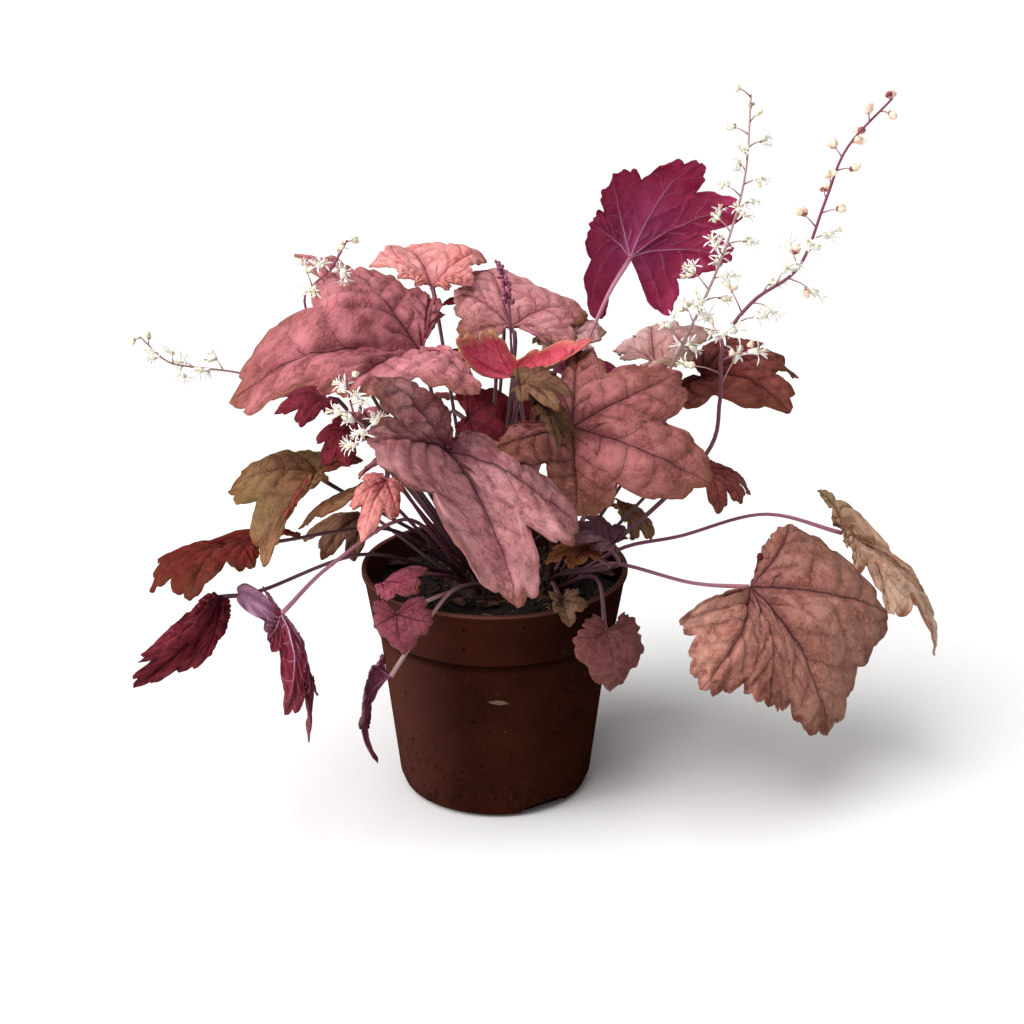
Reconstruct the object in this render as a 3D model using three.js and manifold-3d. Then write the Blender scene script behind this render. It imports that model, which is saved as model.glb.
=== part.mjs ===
// A heuchera (coral bells) in its plastic nursery pot. Millimetres, +Z up.
// The origin is the centre of the pot's underside, and -Y is the plant's front.

import * as THREE from 'three';
import { mergeVertices } from 'three/addons/utils/BufferGeometryUtils.js';
import Module from 'manifold-3d';

const wasm = await Module();
wasm.setup();

// ---------------------------------------------------------------- driving dimensions

const POT = {
  height: 115, rimRadius: 65, wall: 1.5,
  lipDepth: 2.5, lipWidth: 1,
  collarDepth: 27, collarFootRadius: 60, shoulderStep: 2.6,
  baseRadius: 48, baseRounding: 7, baseBevel: 2, bevel: 1.5,
  sides: 32,
};
const DRAIN = {
  holes: 6, holeRadius: 4, circle: 28, firstHole: 15, holeSides: 8,
  archWidth: 27, archHeight: 7.5, archReach: 8, archTurns: [-58, 122], archSides: 16,
};

// lump is the height of the soil's bumps, and moundRings are shares of its radius.
const SOIL = { top: 102, lump: 1.6, gap: 0.3, moundRings: [0.82, 0.6], sides: 16 };

// The rootstock: two woody crowns, grown together, that every stalk stands on.
const CROWNS = {
  main: { at: [-4, 5], radius: 20 },
  side: { at: [25, -1], radius: 14 },
};
const CROWN = { belowSoil: 5, sides: 12, rings: 7 };

// A stalk starts a gap off its crown, and rises straight away from it at first. Its slope there is
// a share of the slope to the leaf plus a lift, between the lowest and the highest slope.
const SEAT = { gap: 0.4, rise: 9, slopeShare: 0.8, lift: 12, lowest: 18, highest: 86 };
const STALK = { radius: 1.15, sides: 4, steps: 5, neck: 13 };

// Leaf outline: a lobe each 55 degrees round the stalk's end, with an open notch at the back.
const LOBE_STEP = 55;
const LEAF_END = 165;
const OUTLINE = {
  sinus: 0.35, sinusGrowth: 1.5,
  teeth: 3, toothDepth: 0.2, toothGrowth: 6,
  corner: 0.3, cornerWidth: 15,
};
const RELIEF = { arch: 0.16, wave: 0.04, waves: 6.5, phaseStep: 1.7 };

// Where a leaf names no low lobe, it follows these shares of the side lobe and the middle lobe,
// and where it names no end beside the notch, these shares of the low lobe and the middle lobe.
const LOW_LOBE = { lobe: 0.86, mid: -0.6 };
const NOTCH_END = { low: 0.5, mid: -0.22 };

// Rings of a blade: share of the way to the margin, and margin points to each point of the ring.
const MARGIN = { share: 1, thinning: 1 };
const RINGS = {
  large: [{ share: 0.3, thinning: 5 }, { share: 0.64, thinning: 2.6 }, MARGIN],
  small: [{ share: 0.5, thinning: 4 }, MARGIN],
};
const SMALL_LEAF = 36;
const LARGE_LEAF = 52;
const BLADE_THICKNESS = 0.7;
const FINEST = 0.04;

// ---------------------------------------------------------------- leaves

// at: where the stalk meets the blade. mid, left, right, lowLeft, lowRight: from there to each
// lobe's tip, seen from the leaf's upper face. endLeft, endRight: to the corners of the notch.
// leave: turn and lift of the stalk at its crown, in degrees. via: points that the stalk passes.
const LEAVES = [
  {
    name: 'leaf_front', tone: 'dusk', teeth: 5,
    at: [-21, -48, 189], mid: [31, -44, -58], left: [58, -34, -24], right: [-34, -34, 15],
    lowLeft: [7, 18, 1], lowRight: [-31, -28, 43], endLeft: [5, 14, 1], endRight: [-1, 8, 14],
  },
  {
    name: 'leaf_right_large', tone: 'rose', crown: 'side', teeth: 5,
    at: [35, -38, 197], mid: [63, -10, -24], left: [50, 10, 21], right: [2, -24, -34],
    lowLeft: [3, 22, 31], lowRight: [-34, -20, -3],
  },
  {
    name: 'leaf_left_large', tone: 'rose', teeth: 5, sinus: 0.24,
    at: [-33, -18, 226], mid: [-86, -22, -16], left: [-33, -44, -7], right: [-33, 26, 32],
    lowLeft: [26, -38, -8], lowRight: [4, 38, 18], endLeft: [16, -16, 1], endRight: [9, 20, 11],
    via: [[-22, 4, 168]],
  },
  {
    name: 'leaf_top_back', tone: 'rose', teeth: 2,
    at: [-30, 38, 244], mid: [-20, 54, 6], left: [-31, 14, 8], right: [27, 24, 9],
    lowLeft: [-16, -2, 5], lowRight: [20, -6, 3], endLeft: [-8, -10, 1], endRight: [8, -8, -1],
  },
  {
    name: 'leaf_top_left', tone: 'crimson',
    at: [-70, 52, 234], mid: [-30, 20, 18], left: [-16, -4, 4], right: [-11, 38, 10],
    lowLeft: [-6, -8, 0], lowRight: [14, 20, -2],
  },
  {
    name: 'leaf_centre_back', tone: 'dusk', sinus: 0.2, at: [8, 22, 228],
    mid: [-14, 44, 18], left: [-29, 24, 9], right: [37, 26, 1],
    lowLeft: [-25, 0, -8], lowRight: [30, -8, -9],
  },
  {
    name: 'leaf_cup', tone: 'crimson', sinus: 0.15, arch: -0.2,
    at: [10, -22, 217], mid: [2, 8, 6], left: [-11, 4, 21], right: [34, -2, 19],
    lowLeft: [-27, -4, 19], lowRight: [14, -14, 9], endLeft: [-21, -12, 7], endRight: [4, -10, 2],
    via: [[14, -10, 178]],
  },
  {
    name: 'leaf_crimson', tone: 'crimson', teeth: 5, sinus: 0.26,
    at: [65, 28, 261], mid: [28, -16, 49], left: [54, -4, 23], right: [-11, -18, 42],
    lowLeft: [49, 4, -2], lowRight: [-20, -10, 18], endLeft: [14, 6, -37], endRight: [-13, 8, -48],
    via: [[48, 14, 232]],
  },
  {
    name: 'leaf_behind_cup', tone: 'olive',
    at: [32, 22, 219], mid: [10, 38, 8], left: [-9, 28, 6], right: [23, 18, 1],
    leave: [6, -4],
  },
  {
    name: 'leaf_right_back', tone: 'olive', crown: 'side',
    at: [78, 22, 209], mid: [34, 18, 11], left: [4, 50, 5], right: [14, -14, 4],
    leave: [8, 0],
  },
  {
    name: 'leaf_right_red', tone: 'crimson', crown: 'side',
    at: [103, 42, 197], mid: [51, 16, -3], left: [31, 50, 4], right: [41, -22, -10],
    lowLeft: [3, 38, 3], lowRight: [-15, -16, -11],
  },
  {
    name: 'leaf_right_small', tone: 'crimson', crown: 'side',
    at: [100, 10, 161], mid: [20, -8, -16], left: [27, 12, -18], right: [7, -22, -16],
  },
  {
    name: 'leaf_far_right', tone: 'rose', crown: 'side', teeth: 5, sinus: 0.14,
    at: [121, -30, 115], mid: [35, -18, -70], left: [69, 22, -23], right: [4, -38, -45],
    lowLeft: [22, 36, 19], lowRight: [-30, -50, -30], endLeft: [10, 30, 9],
    endRight: [-39, -26, 0],
    leave: [-12, -2], via: [[56, -17, 122], [93, -27, 116]],
  },
  {
    name: 'leaf_dry_right', tone: 'tan', crown: 'side',
    at: [175, 28, 120], mid: [53, -6, -65], left: [38, 2, -32], right: [18, -34, -29],
    lowLeft: [-12, 12, 18], lowRight: [2, -24, -11], endLeft: [-3, 6, 9], endRight: [0, -10, -3],
    via: [[63, -6, 126], [91, 6, 127], [134, 20, 133]],
  },
  {
    name: 'leaf_olive_left', tone: 'olive', sinus: 0.22,
    at: [-81, -30, 172], mid: [-40, -18, 0], left: [-21, -50, -24], right: [-17, 16, 5],
    lowLeft: [-6, -22, -3], lowRight: [19, 14, 2],
    leave: [0, 10],
  },
  {
    name: 'leaf_coral', tone: 'crimson',
    at: [-48, -62, 180], mid: [-10, -22, -21], left: [6, -16, -11], right: [-16, -10, -8],
    lowLeft: [8, -4, -2], lowRight: [-10, 2, 2], endLeft: [4, 2, 1], endRight: [-4, 4, 2],
    leave: [10, -2],
  },
  {
    name: 'leaf_narrow', tone: 'tan',
    at: [-60, -33, 163], mid: [-30, -10, -14], left: [-18, -14, -7], right: [-18, 6, -7],
    leave: [12, -6],
  },
  {
    name: 'leaf_olive_low', tone: 'olive',
    at: [-65, 16, 134], mid: [-19, -24, -13], left: [-3, -24, -14], right: [-29, -10, -8],
    lowLeft: [8, -12, -4], lowRight: [-8, 2, 0], endLeft: [5, -4, 0], endRight: [-4, 2, 1],
    leave: [0, -8],
  },
  {
    name: 'leaf_far_left', tone: 'crimson', sinus: 0.18,
    at: [-118, -40, 139], mid: [-39, -22, -11], left: [-16, -50, -3], right: [-35, 0, -6],
    lowLeft: [11, -34, 5], lowRight: [28, 4, 6],
    via: [[-52, -14, 139], [-97, -31, 140]],
  },
  {
    name: 'leaf_far_left_low', tone: 'crimson', sinus: 0.13,
    at: [-128, -40, 115], mid: [-38, -32, -31], left: [-9, -26, -24], right: [-32, -38, -12],
    lowLeft: [2, -10, -13], lowRight: [-18, -10, -7], endLeft: [2, 2, -4], endRight: [-8, 4, -1],
    via: [[-62, -32, 133], [-109, -42, 119]],
  },
  {
    name: 'leaf_magenta', tone: 'crimson', arch: -0.14,
    at: [-98, -60, 115], mid: [13, -24, -53], left: [4, -30, -36], right: [13, -8, -35],
    lowLeft: [-6, -6, -10], lowRight: [2, 2, -4], endLeft: [-26, 2, 20], endRight: [-15, 10, 14],
    via: [[-42, -20, 146], [-76, -46, 133]],
  },
  {
    name: 'leaf_pot_left_curl', tone: 'plum',
    at: [-48, -76, 91], mid: [-8, -6, -41], left: [-12, -8, -19], right: [-10, 4, -24],
    leave: [14, 0], via: [[-18, -50, 123], [-30, -66, 115]],
  },
  {
    name: 'leaf_pot_left_in', tone: 'rose', sinus: 0.16,
    at: [-52, -42, 122], mid: [21, 6, 5], left: [14, 10, -1], right: [17, -6, -2],
    via: [[-36, -28, 121]],
  },
  {
    name: 'leaf_pot_left_out', tone: 'plum', sinus: 0.16,
    at: [-44, -70, 119], mid: [3, -4, -18], left: [17, -4, -2], right: [-11, 4, -8],
    via: [[-25, -58, 123]],
  },
  {
    name: 'leaf_pot_right_out', tone: 'rose', crown: 'side', sinus: 0.1,
    at: [51, -62, 107], mid: [2, -2, -30], left: [18, 12, -15], right: [-16, -12, 1],
    lowLeft: [14, 16, -1], lowRight: [-10, -8, 9],
    via: [[47, -48, 127]],
  },
  {
    name: 'leaf_dry_rim', tone: 'tan', crown: 'side',
    at: [30, -66, 124], mid: [4, -6, -11], left: [12, -4, -1], right: [-4, -4, -3],
    leave: [0, 5],
  },
  {
    name: 'leaf_olive_back', tone: 'olive', crown: 'side',
    at: [62, 36, 132], mid: [19, 8, -22], left: [12, 18, -10], right: [7, -6, -17],
    lowLeft: [4, 6, -2], lowRight: [2, -6, -6],
  },
  {
    name: 'leaf_purple_mid', tone: 'plum', crown: 'side',
    at: [54, -40, 140], mid: [-25, -10, 12], left: [-24, -26, 12], right: [-9, 10, 12],
    leave: [10, 8],
  },
  {
    name: 'leaf_amber_mid', tone: 'tan', crown: 'side',
    at: [44, -46, 139], mid: [-21, -10, -1], left: [-10, -16, -1], right: [-17, 6, 0],
    leave: [-2, 6],
  },
  {
    name: 'leaf_red_mid', tone: 'crimson',
    at: [-12, -16, 194], mid: [19, -6, -9], left: [12, 10, 5], right: [6, -14, -16],
    leave: [-14, -6],
  },
  {
    name: 'leaf_left_red_a', tone: 'crimson',
    at: [-80, 0, 199], mid: [-23, -6, -6], left: [-10, -16, -9], right: [-21, 20, -4],
    leave: [-6, -6],
  },
  {
    name: 'leaf_left_red_b', tone: 'crimson',
    at: [-66, -25, 192], mid: [-12, -14, -13], left: [1, -24, -10], right: [-17, 4, -6],
    leave: [16, 6],
  },
  {
    name: 'leaf_dry_mid', tone: 'tan',
    at: [18, -54, 214], mid: [17, -10, -21], left: [19, -4, -13], right: [10, -14, -16],
    via: [[15, -28, 179]],
  },
  {
    name: 'leaf_olive_mid', tone: 'olive',
    at: [12, -46, 218], mid: [23, -18, 2], left: [15, 8, 6], right: [16, -30, -1],
    via: [[3, -25, 170]],
  },
  {
    name: 'leaf_dark_mid', tone: 'plum',
    at: [-8, 2, 219], mid: [-17, -6, -1], left: [-6, -16, -3], right: [-12, 12, -1],
  },
  {
    name: 'leaf_tip_mid', tone: 'crimson',
    at: [-4, 50, 230], mid: [-22, 6, 1], left: [-12, 0, -1], right: [-13, 20, 0],
  },
  {
    name: 'leaf_young', tone: 'plum',
    at: [-69, -6, 240], mid: [-7, 2, 10], left: [-8, -4, 4], right: [-2, 8, 7],
  },
  {
    name: 'leaf_heart', tone: 'crimson', teeth: 2,
    at: [13, 26, 165], mid: [-32, -8, 35], left: [-25, -12, 4], right: [8, 6, 36],
    lowLeft: [-9, -10, -10], lowRight: [21, 4, 15],
  },
];

// Leaves behind, placed by a rule: turn from +X, height and distance of the stalk's end, length
// of the middle lobe, and droop.
const BACK_LEAVES = [
  { turn: 40, height: 143, distance: 74, length: 44, droop: 24 },
  { turn: 74, height: 163, distance: 70, length: 46, droop: 32 },
  { turn: 118, height: 145, distance: 72, length: 44, droop: 22 },
  { turn: 130, height: 175, distance: 70, length: 44, droop: 30 },
  { turn: 52, height: 197, distance: 58, length: 38, droop: 10 },
  { turn: 92, height: 129, distance: 96, length: 42, droop: 44 },
];
const BACK_LEAF = { sideLobe: 0.45, sideSpread: 0.72, droopRange: 0.2, seed: 11 };

// stem: points that a flower stem passes after the crown. bloom: share of the stem where the
// flowers begin. branch: lengths of the lowest and highest side branch. open: share of the
// branches, from the lowest, whose flowers have opened.
const SPRAYS = [
  {
    name: 'spray_tall', crown: 'side', bloom: 0.5, branches: 19, branch: [12, 8], open: 0.75,
    spin: 64, leave: [0, 6],
    stem: [[56, 2, 162], [82, 0, 212], [100, 5, 250], [110, 9, 277], [116, 12, 304], [118, 20, 338]],
  },
  {
    name: 'spray_arching', crown: 'side', bloom: 0.46, branches: 26, branch: [17, 4], open: 0.6,
    spin: 60, leave: [14, 12],
    stem: [
      [59, -11, 132], [99, -14, 175], [105, -15, 203], [105, -19, 231], [117, -24, 252],
      [137, -22, 267], [148, -18, 296], [157, -14, 319], [177, -8, 340],
    ],
  },
  {
    name: 'spray_upper_left', crown: 'main', bloom: 0.8, branches: 9, branch: [9, 4], open: 0.8,
    spin: 0,
    stem: [[-48, 16, 163], [-74, 14, 208], [-88, 8, 241], [-84, 2, 253], [-74, -8, 264], [-66, -14, 278]],
  },
  {
    name: 'spray_far_left', crown: 'main', bloom: 0.78, branches: 10, branch: [8, 4], open: 0.8,
    spin: 40,
    stem: [[-66, 40, 171], [-104, 32, 197], [-123, 22, 206], [-145, 12, 212], [-155, 8, 216], [-166, 4, 229]],
  },
  {
    name: 'spray_mid_left', crown: 'main', bloom: 0.74, branches: 11, branch: [9, 5], open: 0.85,
    spin: 80,
    stem: [[-42, -40, 168], [-55, -70, 206], [-60, -76, 215], [-62, -78, 224], [-63, -80, 232]],
  },
  {
    name: 'spray_bud', crown: 'main', bloom: 0.88, branches: 15, branch: [2.4, 1.6], open: 0,
    spin: 0,
    stem: [[10, 2, 173], [8, 3, 226], [7, 4, 244], [3, 8, 262]],
  },
];
const SPRAY = { stemRadius: 0.95, stemSides: 4, stemSteps: 12, branchRadius: 0.45, branchSides: 3 };
const BRANCH = { lift: 25, goldenTurn: 137.508, last: 0.995 };

// Heights of a flower are shares of its radius, from the end of its branch.
const FLOWER = { radius: 4.2, petals: 5, waist: 0.36, lean: 0.3, heart: 0.2, star: -0.1, neck: -0.5 };
const BUD = { radius: 1.5, tip: 1.5, neck: 1.3, shortestNeck: 0.4 };

const TONES = {
  rose: 0xb8605c, dusk: 0xa06468, crimson: 0x9c2238, olive: 0x7a6a3c, tan: 0xa98252, plum: 0x5c2436,
};
const BACK_TONES = ['rose', 'crimson', 'dusk'];
const FINISH = {
  leafRoughness: 0.6,
  spray: { color: 0xe8dcd0, roughness: 0.5 },
  pot: { color: 0x5a2f24, roughness: 0.45 },
  soil: { color: 0x241a14, roughness: 0.95 },
  rootstock: { color: 0x4a3326, roughness: 0.85 },
};

// ---------------------------------------------------------------- helpers

const vector = (values) => new THREE.Vector3(...values);

function polar(radius, degrees) {
  const angle = THREE.MathUtils.degToRad(degrees);
  return new THREE.Vector2(radius * Math.cos(angle), radius * Math.sin(angle));
}

function solid(geometry) {
  const bare = geometry.clone();
  bare.deleteAttribute('normal');
  bare.deleteAttribute('uv');
  const merged = mergeVertices(bare, 1e-4);
  const vertProperties = new Float32Array(merged.attributes.position.array);
  const triVerts = new Uint32Array(merged.index.array);
  return new wasm.Manifold(new wasm.Mesh({ numProp: 3, vertProperties, triVerts }));
}

function geometryOf(manifold) {
  const mesh = manifold.getMesh();
  const geometry = new THREE.BufferGeometry();
  geometry.setAttribute('position', new THREE.BufferAttribute(new Float32Array(mesh.vertProperties), 3));
  geometry.setIndex(new THREE.BufferAttribute(new Uint32Array(mesh.triVerts), 1));
  return geometry;
}

function smoothCurve(points) {
  return new THREE.CatmullRomCurve3(points, false, 'catmullrom', 0.5);
}

function tube(points, radius, sides, steps) {
  const corners = Array.from({ length: sides }, (_, i) => polar(radius, (360 * i) / sides));
  const section = new THREE.Shape(corners);
  return new THREE.ExtrudeGeometry(section, { steps, extrudePath: smoothCurve(points), bevelEnabled: false });
}

function seededRandom(seed) {
  let state = seed;
  return () => {
    state = (state * 1664525 + 1013904223) % 4294967296;
    return state / 4294967296;
  };
}

// ---------------------------------------------------------------- leaf shape

// Directions and lengths of the lobes, from one end of the margin round to the other.
function lobeCurve(leaf) {
  const mid = vector(leaf.mid);
  const sideLobes = (side, givenLow, givenEnd) => {
    const lobe = vector(side);
    const lowRule = lobe.clone().multiplyScalar(LOW_LOBE.lobe).addScaledVector(mid, LOW_LOBE.mid);
    const low = givenLow ? vector(givenLow) : lowRule;
    const endRule = low.clone().multiplyScalar(NOTCH_END.low).addScaledVector(mid, NOTCH_END.mid);
    const end = givenEnd ? vector(givenEnd) : endRule;
    return [lobe, low, end];
  };
  const left = sideLobes(leaf.left, leaf.lowLeft, leaf.endLeft);
  const right = sideLobes(leaf.right, leaf.lowRight, leaf.endRight);
  const lobes = [...right.reverse(), mid, ...left];
  const lengths = lobes.map((lobe) => new THREE.Vector3(lobe.length(), 0, 0));
  const ways = lobes.map((lobe) => lobe.clone().normalize());
  return { way: smoothCurve(ways), length: smoothCurve(lengths) };
}

function upperNormal(leaf) {
  const mid = vector(leaf.mid);
  const toLeft = mid.clone().cross(vector(leaf.left)).normalize();
  const toRight = vector(leaf.right).cross(mid).normalize();
  return toLeft.add(toRight).normalize();
}

// How far the outline reaches at an angle, as a share of the smooth curve through the lobe tips.
function reach(leaf, angle, share) {
  const lobe = Math.round(angle / LOBE_STEP);
  const across = (2 * (angle - lobe * LOBE_STEP)) / LOBE_STEP;
  const pastCorner = Math.max(0, Math.abs(angle) - LEAF_END + OUTLINE.cornerWidth);
  const corner = OUTLINE.corner * (pastCorner / OUTLINE.cornerWidth) ** 2;
  const sinus = (leaf.sinus ?? OUTLINE.sinus) * across ** 2 * share ** OUTLINE.sinusGrowth;
  const teeth = leaf.teeth ?? OUTLINE.teeth;
  const between = 1 - Math.abs(Math.cos((Math.PI * teeth * across) / 2));
  const notch = (OUTLINE.toothDepth / teeth) * between * share ** OUTLINE.toothGrowth;
  return share * (1 - corner - sinus - notch);
}

function leafPoint(leaf, angle, share) {
  const place = (angle + LEAF_END) / (2 * LEAF_END);
  const length = leaf.curve.length.getPoint(place).x;
  const way = leaf.curve.way.getPoint(place);
  const radial = way.multiplyScalar(length / Math.sqrt(way.length()));
  const out = reach(leaf, angle, share);
  const arch = (leaf.arch ?? RELIEF.arch) * length * 4 * out * (1 - out);
  const swing = Math.sin(RELIEF.waves * THREE.MathUtils.degToRad(angle) + leaf.phase);
  const wave = RELIEF.wave * length * out ** 3 * swing;
  return radial.multiplyScalar(out).addScaledVector(leaf.normal, arch + wave).add(leaf.joint);
}

// Lobe tips, teeth and the notches between them. A small leaf skips the notches inside a lobe.
function marginAngles(leaf) {
  const teeth = leaf.teeth ?? OUTLINE.teeth;
  const small = vector(leaf.mid).length() < SMALL_LEAF;
  const angles = [-LEAF_END, -LEAF_END + LOBE_STEP / 4];
  for (let step = -5 * teeth; step <= 5 * teeth; step += 1) {
    const innerNotch = Math.abs(step) % 2 === 1 && Math.abs(step) % (2 * teeth) !== teeth;
    if (!small || !innerNotch) {
      angles.push((step * LOBE_STEP) / (2 * teeth));
    }
  }
  angles.push(LEAF_END - LOBE_STEP / 4, LEAF_END);
  return angles;
}

function evenAngles(count) {
  return Array.from({ length: count + 1 }, (_, i) => -LEAF_END + (2 * LEAF_END * i) / count);
}

// Triangles between two rings of angles, each ring given with its first vertex number.
function zipRings(inner, outer, triangles) {
  let i = 0;
  let o = 0;
  while (i < inner.angles.length - 1 || o < outer.angles.length - 1) {
    const innerNext = inner.angles[i + 1] ?? Infinity;
    const outerNext = outer.angles[o + 1] ?? Infinity;
    if (outerNext <= innerNext) {
      triangles.push([inner.first + i, outer.first + o, outer.first + o + 1]);
      o += 1;
    } else {
      triangles.push([inner.first + i, outer.first + o, inner.first + i + 1]);
      i += 1;
    }
  }
}

function bladeGeometry(leaf) {
  const points = [leaf.joint.clone()];
  const triangles = [];
  const margin = marginAngles(leaf);
  const shape = vector(leaf.mid).length() > LARGE_LEAF ? RINGS.large : RINGS.small;
  const rings = shape.map((ring) => {
    const angles = ring === MARGIN ? margin : evenAngles(Math.round(margin.length / ring.thinning));
    const first = points.length;
    angles.forEach((angle) => points.push(leafPoint(leaf, angle, ring.share)));
    return { angles, first };
  });
  for (let i = 0; i < rings[0].angles.length - 1; i += 1) {
    triangles.push([0, rings[0].first + i, rings[0].first + i + 1]);
  }
  for (let ring = 1; ring < rings.length; ring += 1) {
    zipRings(rings[ring - 1], rings[ring], triangles);
  }
  const starts = rings.map((ring) => ring.first);
  const ends = rings.map((ring) => ring.first + ring.angles.length - 1);
  const outer = rings[rings.length - 1];
  const rim = outer.angles.map((_, i) => outer.first + i);
  const border = [0, ...starts.slice(0, -1), ...rim, ...ends.slice(0, -1).reverse()];
  return thicken(points, triangles, border, BLADE_THICKNESS);
}

// A closed sheet: the given upper face, the same triangles below it, and a wall round the border.
function thicken(points, triangles, border, thickness) {
  const count = points.length;
  const normals = points.map(() => new THREE.Vector3());
  for (const [a, b, c] of triangles) {
    const ab = points[b].clone().sub(points[a]);
    const ac = points[c].clone().sub(points[a]);
    const normal = ab.cross(ac);
    [a, b, c].forEach((i) => normals[i].add(normal));
  }
  const lower = points.map((point, i) => point.clone().addScaledVector(normals[i].normalize(), -thickness));
  const index = [];
  for (const [a, b, c] of triangles) {
    index.push(a, b, c, count + a, count + c, count + b);
  }
  border.forEach((a, i) => {
    const b = border[(i + 1) % border.length];
    index.push(b, a, count + a, b, count + a, count + b);
  });
  const geometry = new THREE.BufferGeometry().setFromPoints([...points, ...lower]);
  geometry.setIndex(index);
  return geometry;
}

// ---------------------------------------------------------------- stalks

function crownCentre(name) {
  return new THREE.Vector3(...CROWNS[name].at, SOIL.top - CROWN.belowSoil);
}

function dome(name, grow) {
  const sphere = new THREE.SphereGeometry(CROWNS[name].radius + grow, CROWN.sides, CROWN.rings);
  const centre = crownCentre(name);
  return sphere.rotateX(Math.PI / 2).translate(centre.x, centre.y, centre.z);
}

// How far the faceted skin of a crown lies from its centre, in one direction.
function skinDistance(name, direction) {
  const skin = new THREE.Mesh(dome(name, 0), new THREE.MeshBasicMaterial({ side: THREE.DoubleSide }));
  return new THREE.Raycaster(crownCentre(name), direction).intersectObject(skin)[0].distance;
}

// The first two points of a stalk, on its crown and straight out from there. It heads for the
// target, but turned and lifted as the plant's leave says.
function stalkStart({ crown = 'main', leave = [0, 0] }, target) {
  const centre = crownCentre(crown);
  const away = target.clone().sub(centre);
  const [turn, lift] = leave;
  const azimuth = Math.atan2(away.y, away.x) + THREE.MathUtils.degToRad(turn);
  const slopeToTarget = THREE.MathUtils.radToDeg(Math.atan2(away.z, Math.hypot(away.x, away.y)));
  const slope = slopeToTarget * SEAT.slopeShare + SEAT.lift + lift;
  const elevation = THREE.MathUtils.degToRad(THREE.MathUtils.clamp(slope, SEAT.lowest, SEAT.highest));
  const direction = new THREE.Vector3(
    Math.cos(elevation) * Math.cos(azimuth),
    Math.cos(elevation) * Math.sin(azimuth),
    Math.sin(elevation),
  );
  const outwards = (distance) => centre.clone().addScaledVector(direction, distance);
  return [outwards(skinDistance(crown, direction) + SEAT.gap), outwards(CROWNS[crown].radius + SEAT.rise)];
}

// A stalk without named points bends into the blade over its neck.
function stalkPath(leaf) {
  const end = leaf.joint.clone().addScaledVector(leaf.normal, -BLADE_THICKNESS / 2);
  if (leaf.via) {
    const passed = leaf.via.map(vector);
    return [...stalkStart(leaf, passed[0]), ...passed, end];
  }
  const intoBlade = vector(leaf.mid).normalize().add(leaf.normal).normalize();
  const neck = end.clone().addScaledVector(intoBlade, -STALK.neck);
  return [...stalkStart(leaf, leaf.joint), neck, end];
}

function makeLeaf(leaf) {
  const blade = solid(bladeGeometry(leaf));
  const stalk = solid(tube(stalkPath(leaf), STALK.radius, STALK.sides, STALK.steps));
  return geometryOf(blade.add(stalk).simplify(FINEST));
}

function backLeaves() {
  const random = seededRandom(BACK_LEAF.seed);
  return BACK_LEAVES.map(({ turn, height, distance, length, droop }, i) => {
    const out = polar(1, turn);
    const across = new THREE.Vector3(-out.y, out.x, 0).multiplyScalar(BACK_LEAF.sideSpread * length);
    const vary = 1 + BACK_LEAF.droopRange * (random() - 0.5);
    const fall = Math.sin(THREE.MathUtils.degToRad(droop * vary));
    const mid = new THREE.Vector3(out.x, out.y, -fall).multiplyScalar(length);
    const forward = mid.clone().multiplyScalar(BACK_LEAF.sideLobe);
    return {
      name: `leaf_back_${i + 1}`,
      tone: BACK_TONES[i % BACK_TONES.length],
      at: [out.x * distance, out.y * distance, height],
      mid: mid.toArray(),
      left: forward.clone().add(across).toArray(),
      right: forward.clone().sub(across).toArray(),
    };
  });
}

// ---------------------------------------------------------------- flower sprays

// A closed shape on one axis, from rings listed from its front backwards. A ring is a height and
// the radii of its points, evenly round; a single zero radius is a pole.
function ringedShape(rings, origin, facing) {
  const turn = new THREE.Quaternion().setFromUnitVectors(new THREE.Vector3(0, 0, 1), facing);
  const points = [];
  const triangles = [];
  const placed = rings.map(({ height, radii, lean = 0 }) => {
    const first = points.length;
    const count = radii.length;
    const angles = count === 1 ? [0] : Array.from({ length: count + 1 }, (_, i) => (360 * i) / count);
    angles.forEach((angle, i) => {
      const radius = radii[i % count];
      const flat = polar(radius, angle);
      const point = new THREE.Vector3(flat.x, flat.y, height + lean * radius);
      points.push(point.applyQuaternion(turn).add(origin));
    });
    return { angles, first };
  });
  for (let ring = 1; ring < placed.length; ring += 1) {
    zipRings(placed[ring - 1], placed[ring], triangles);
  }
  const geometry = new THREE.BufferGeometry().setFromPoints(points);
  geometry.setIndex(triangles.flat());
  return solid(geometry);
}

// A side branch that starts in the middle of the stem, with the flower or bud that it ends in.
function stalkedHead(start, way, length, opened) {
  const branch = Array(SPRAY.branchSides).fill(SPRAY.branchRadius);
  const foot = [{ height: 0, radii: branch }, { height: 0, radii: [0] }];
  if (opened) {
    const { radius, waist, petals } = FLOWER;
    const outline = Array.from({ length: 2 * petals }, (_, i) => (i % 2 ? waist * radius : radius));
    const heart = { height: length + FLOWER.heart * radius, radii: [0] };
    const star = { height: length + FLOWER.star * radius, radii: outline, lean: FLOWER.lean };
    const neck = { height: length + FLOWER.neck * radius, radii: branch };
    return ringedShape([heart, star, neck, ...foot], start, way);
  }
  const tip = { height: length + BUD.tip * BUD.radius, radii: [0] };
  const belly = { height: length, radii: Array(SPRAY.branchSides).fill(BUD.radius) };
  const neck = { height: Math.max(BUD.shortestNeck, length - BUD.neck * BUD.radius), radii: branch };
  return ringedShape([tip, belly, neck, ...foot], start, way);
}

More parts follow.
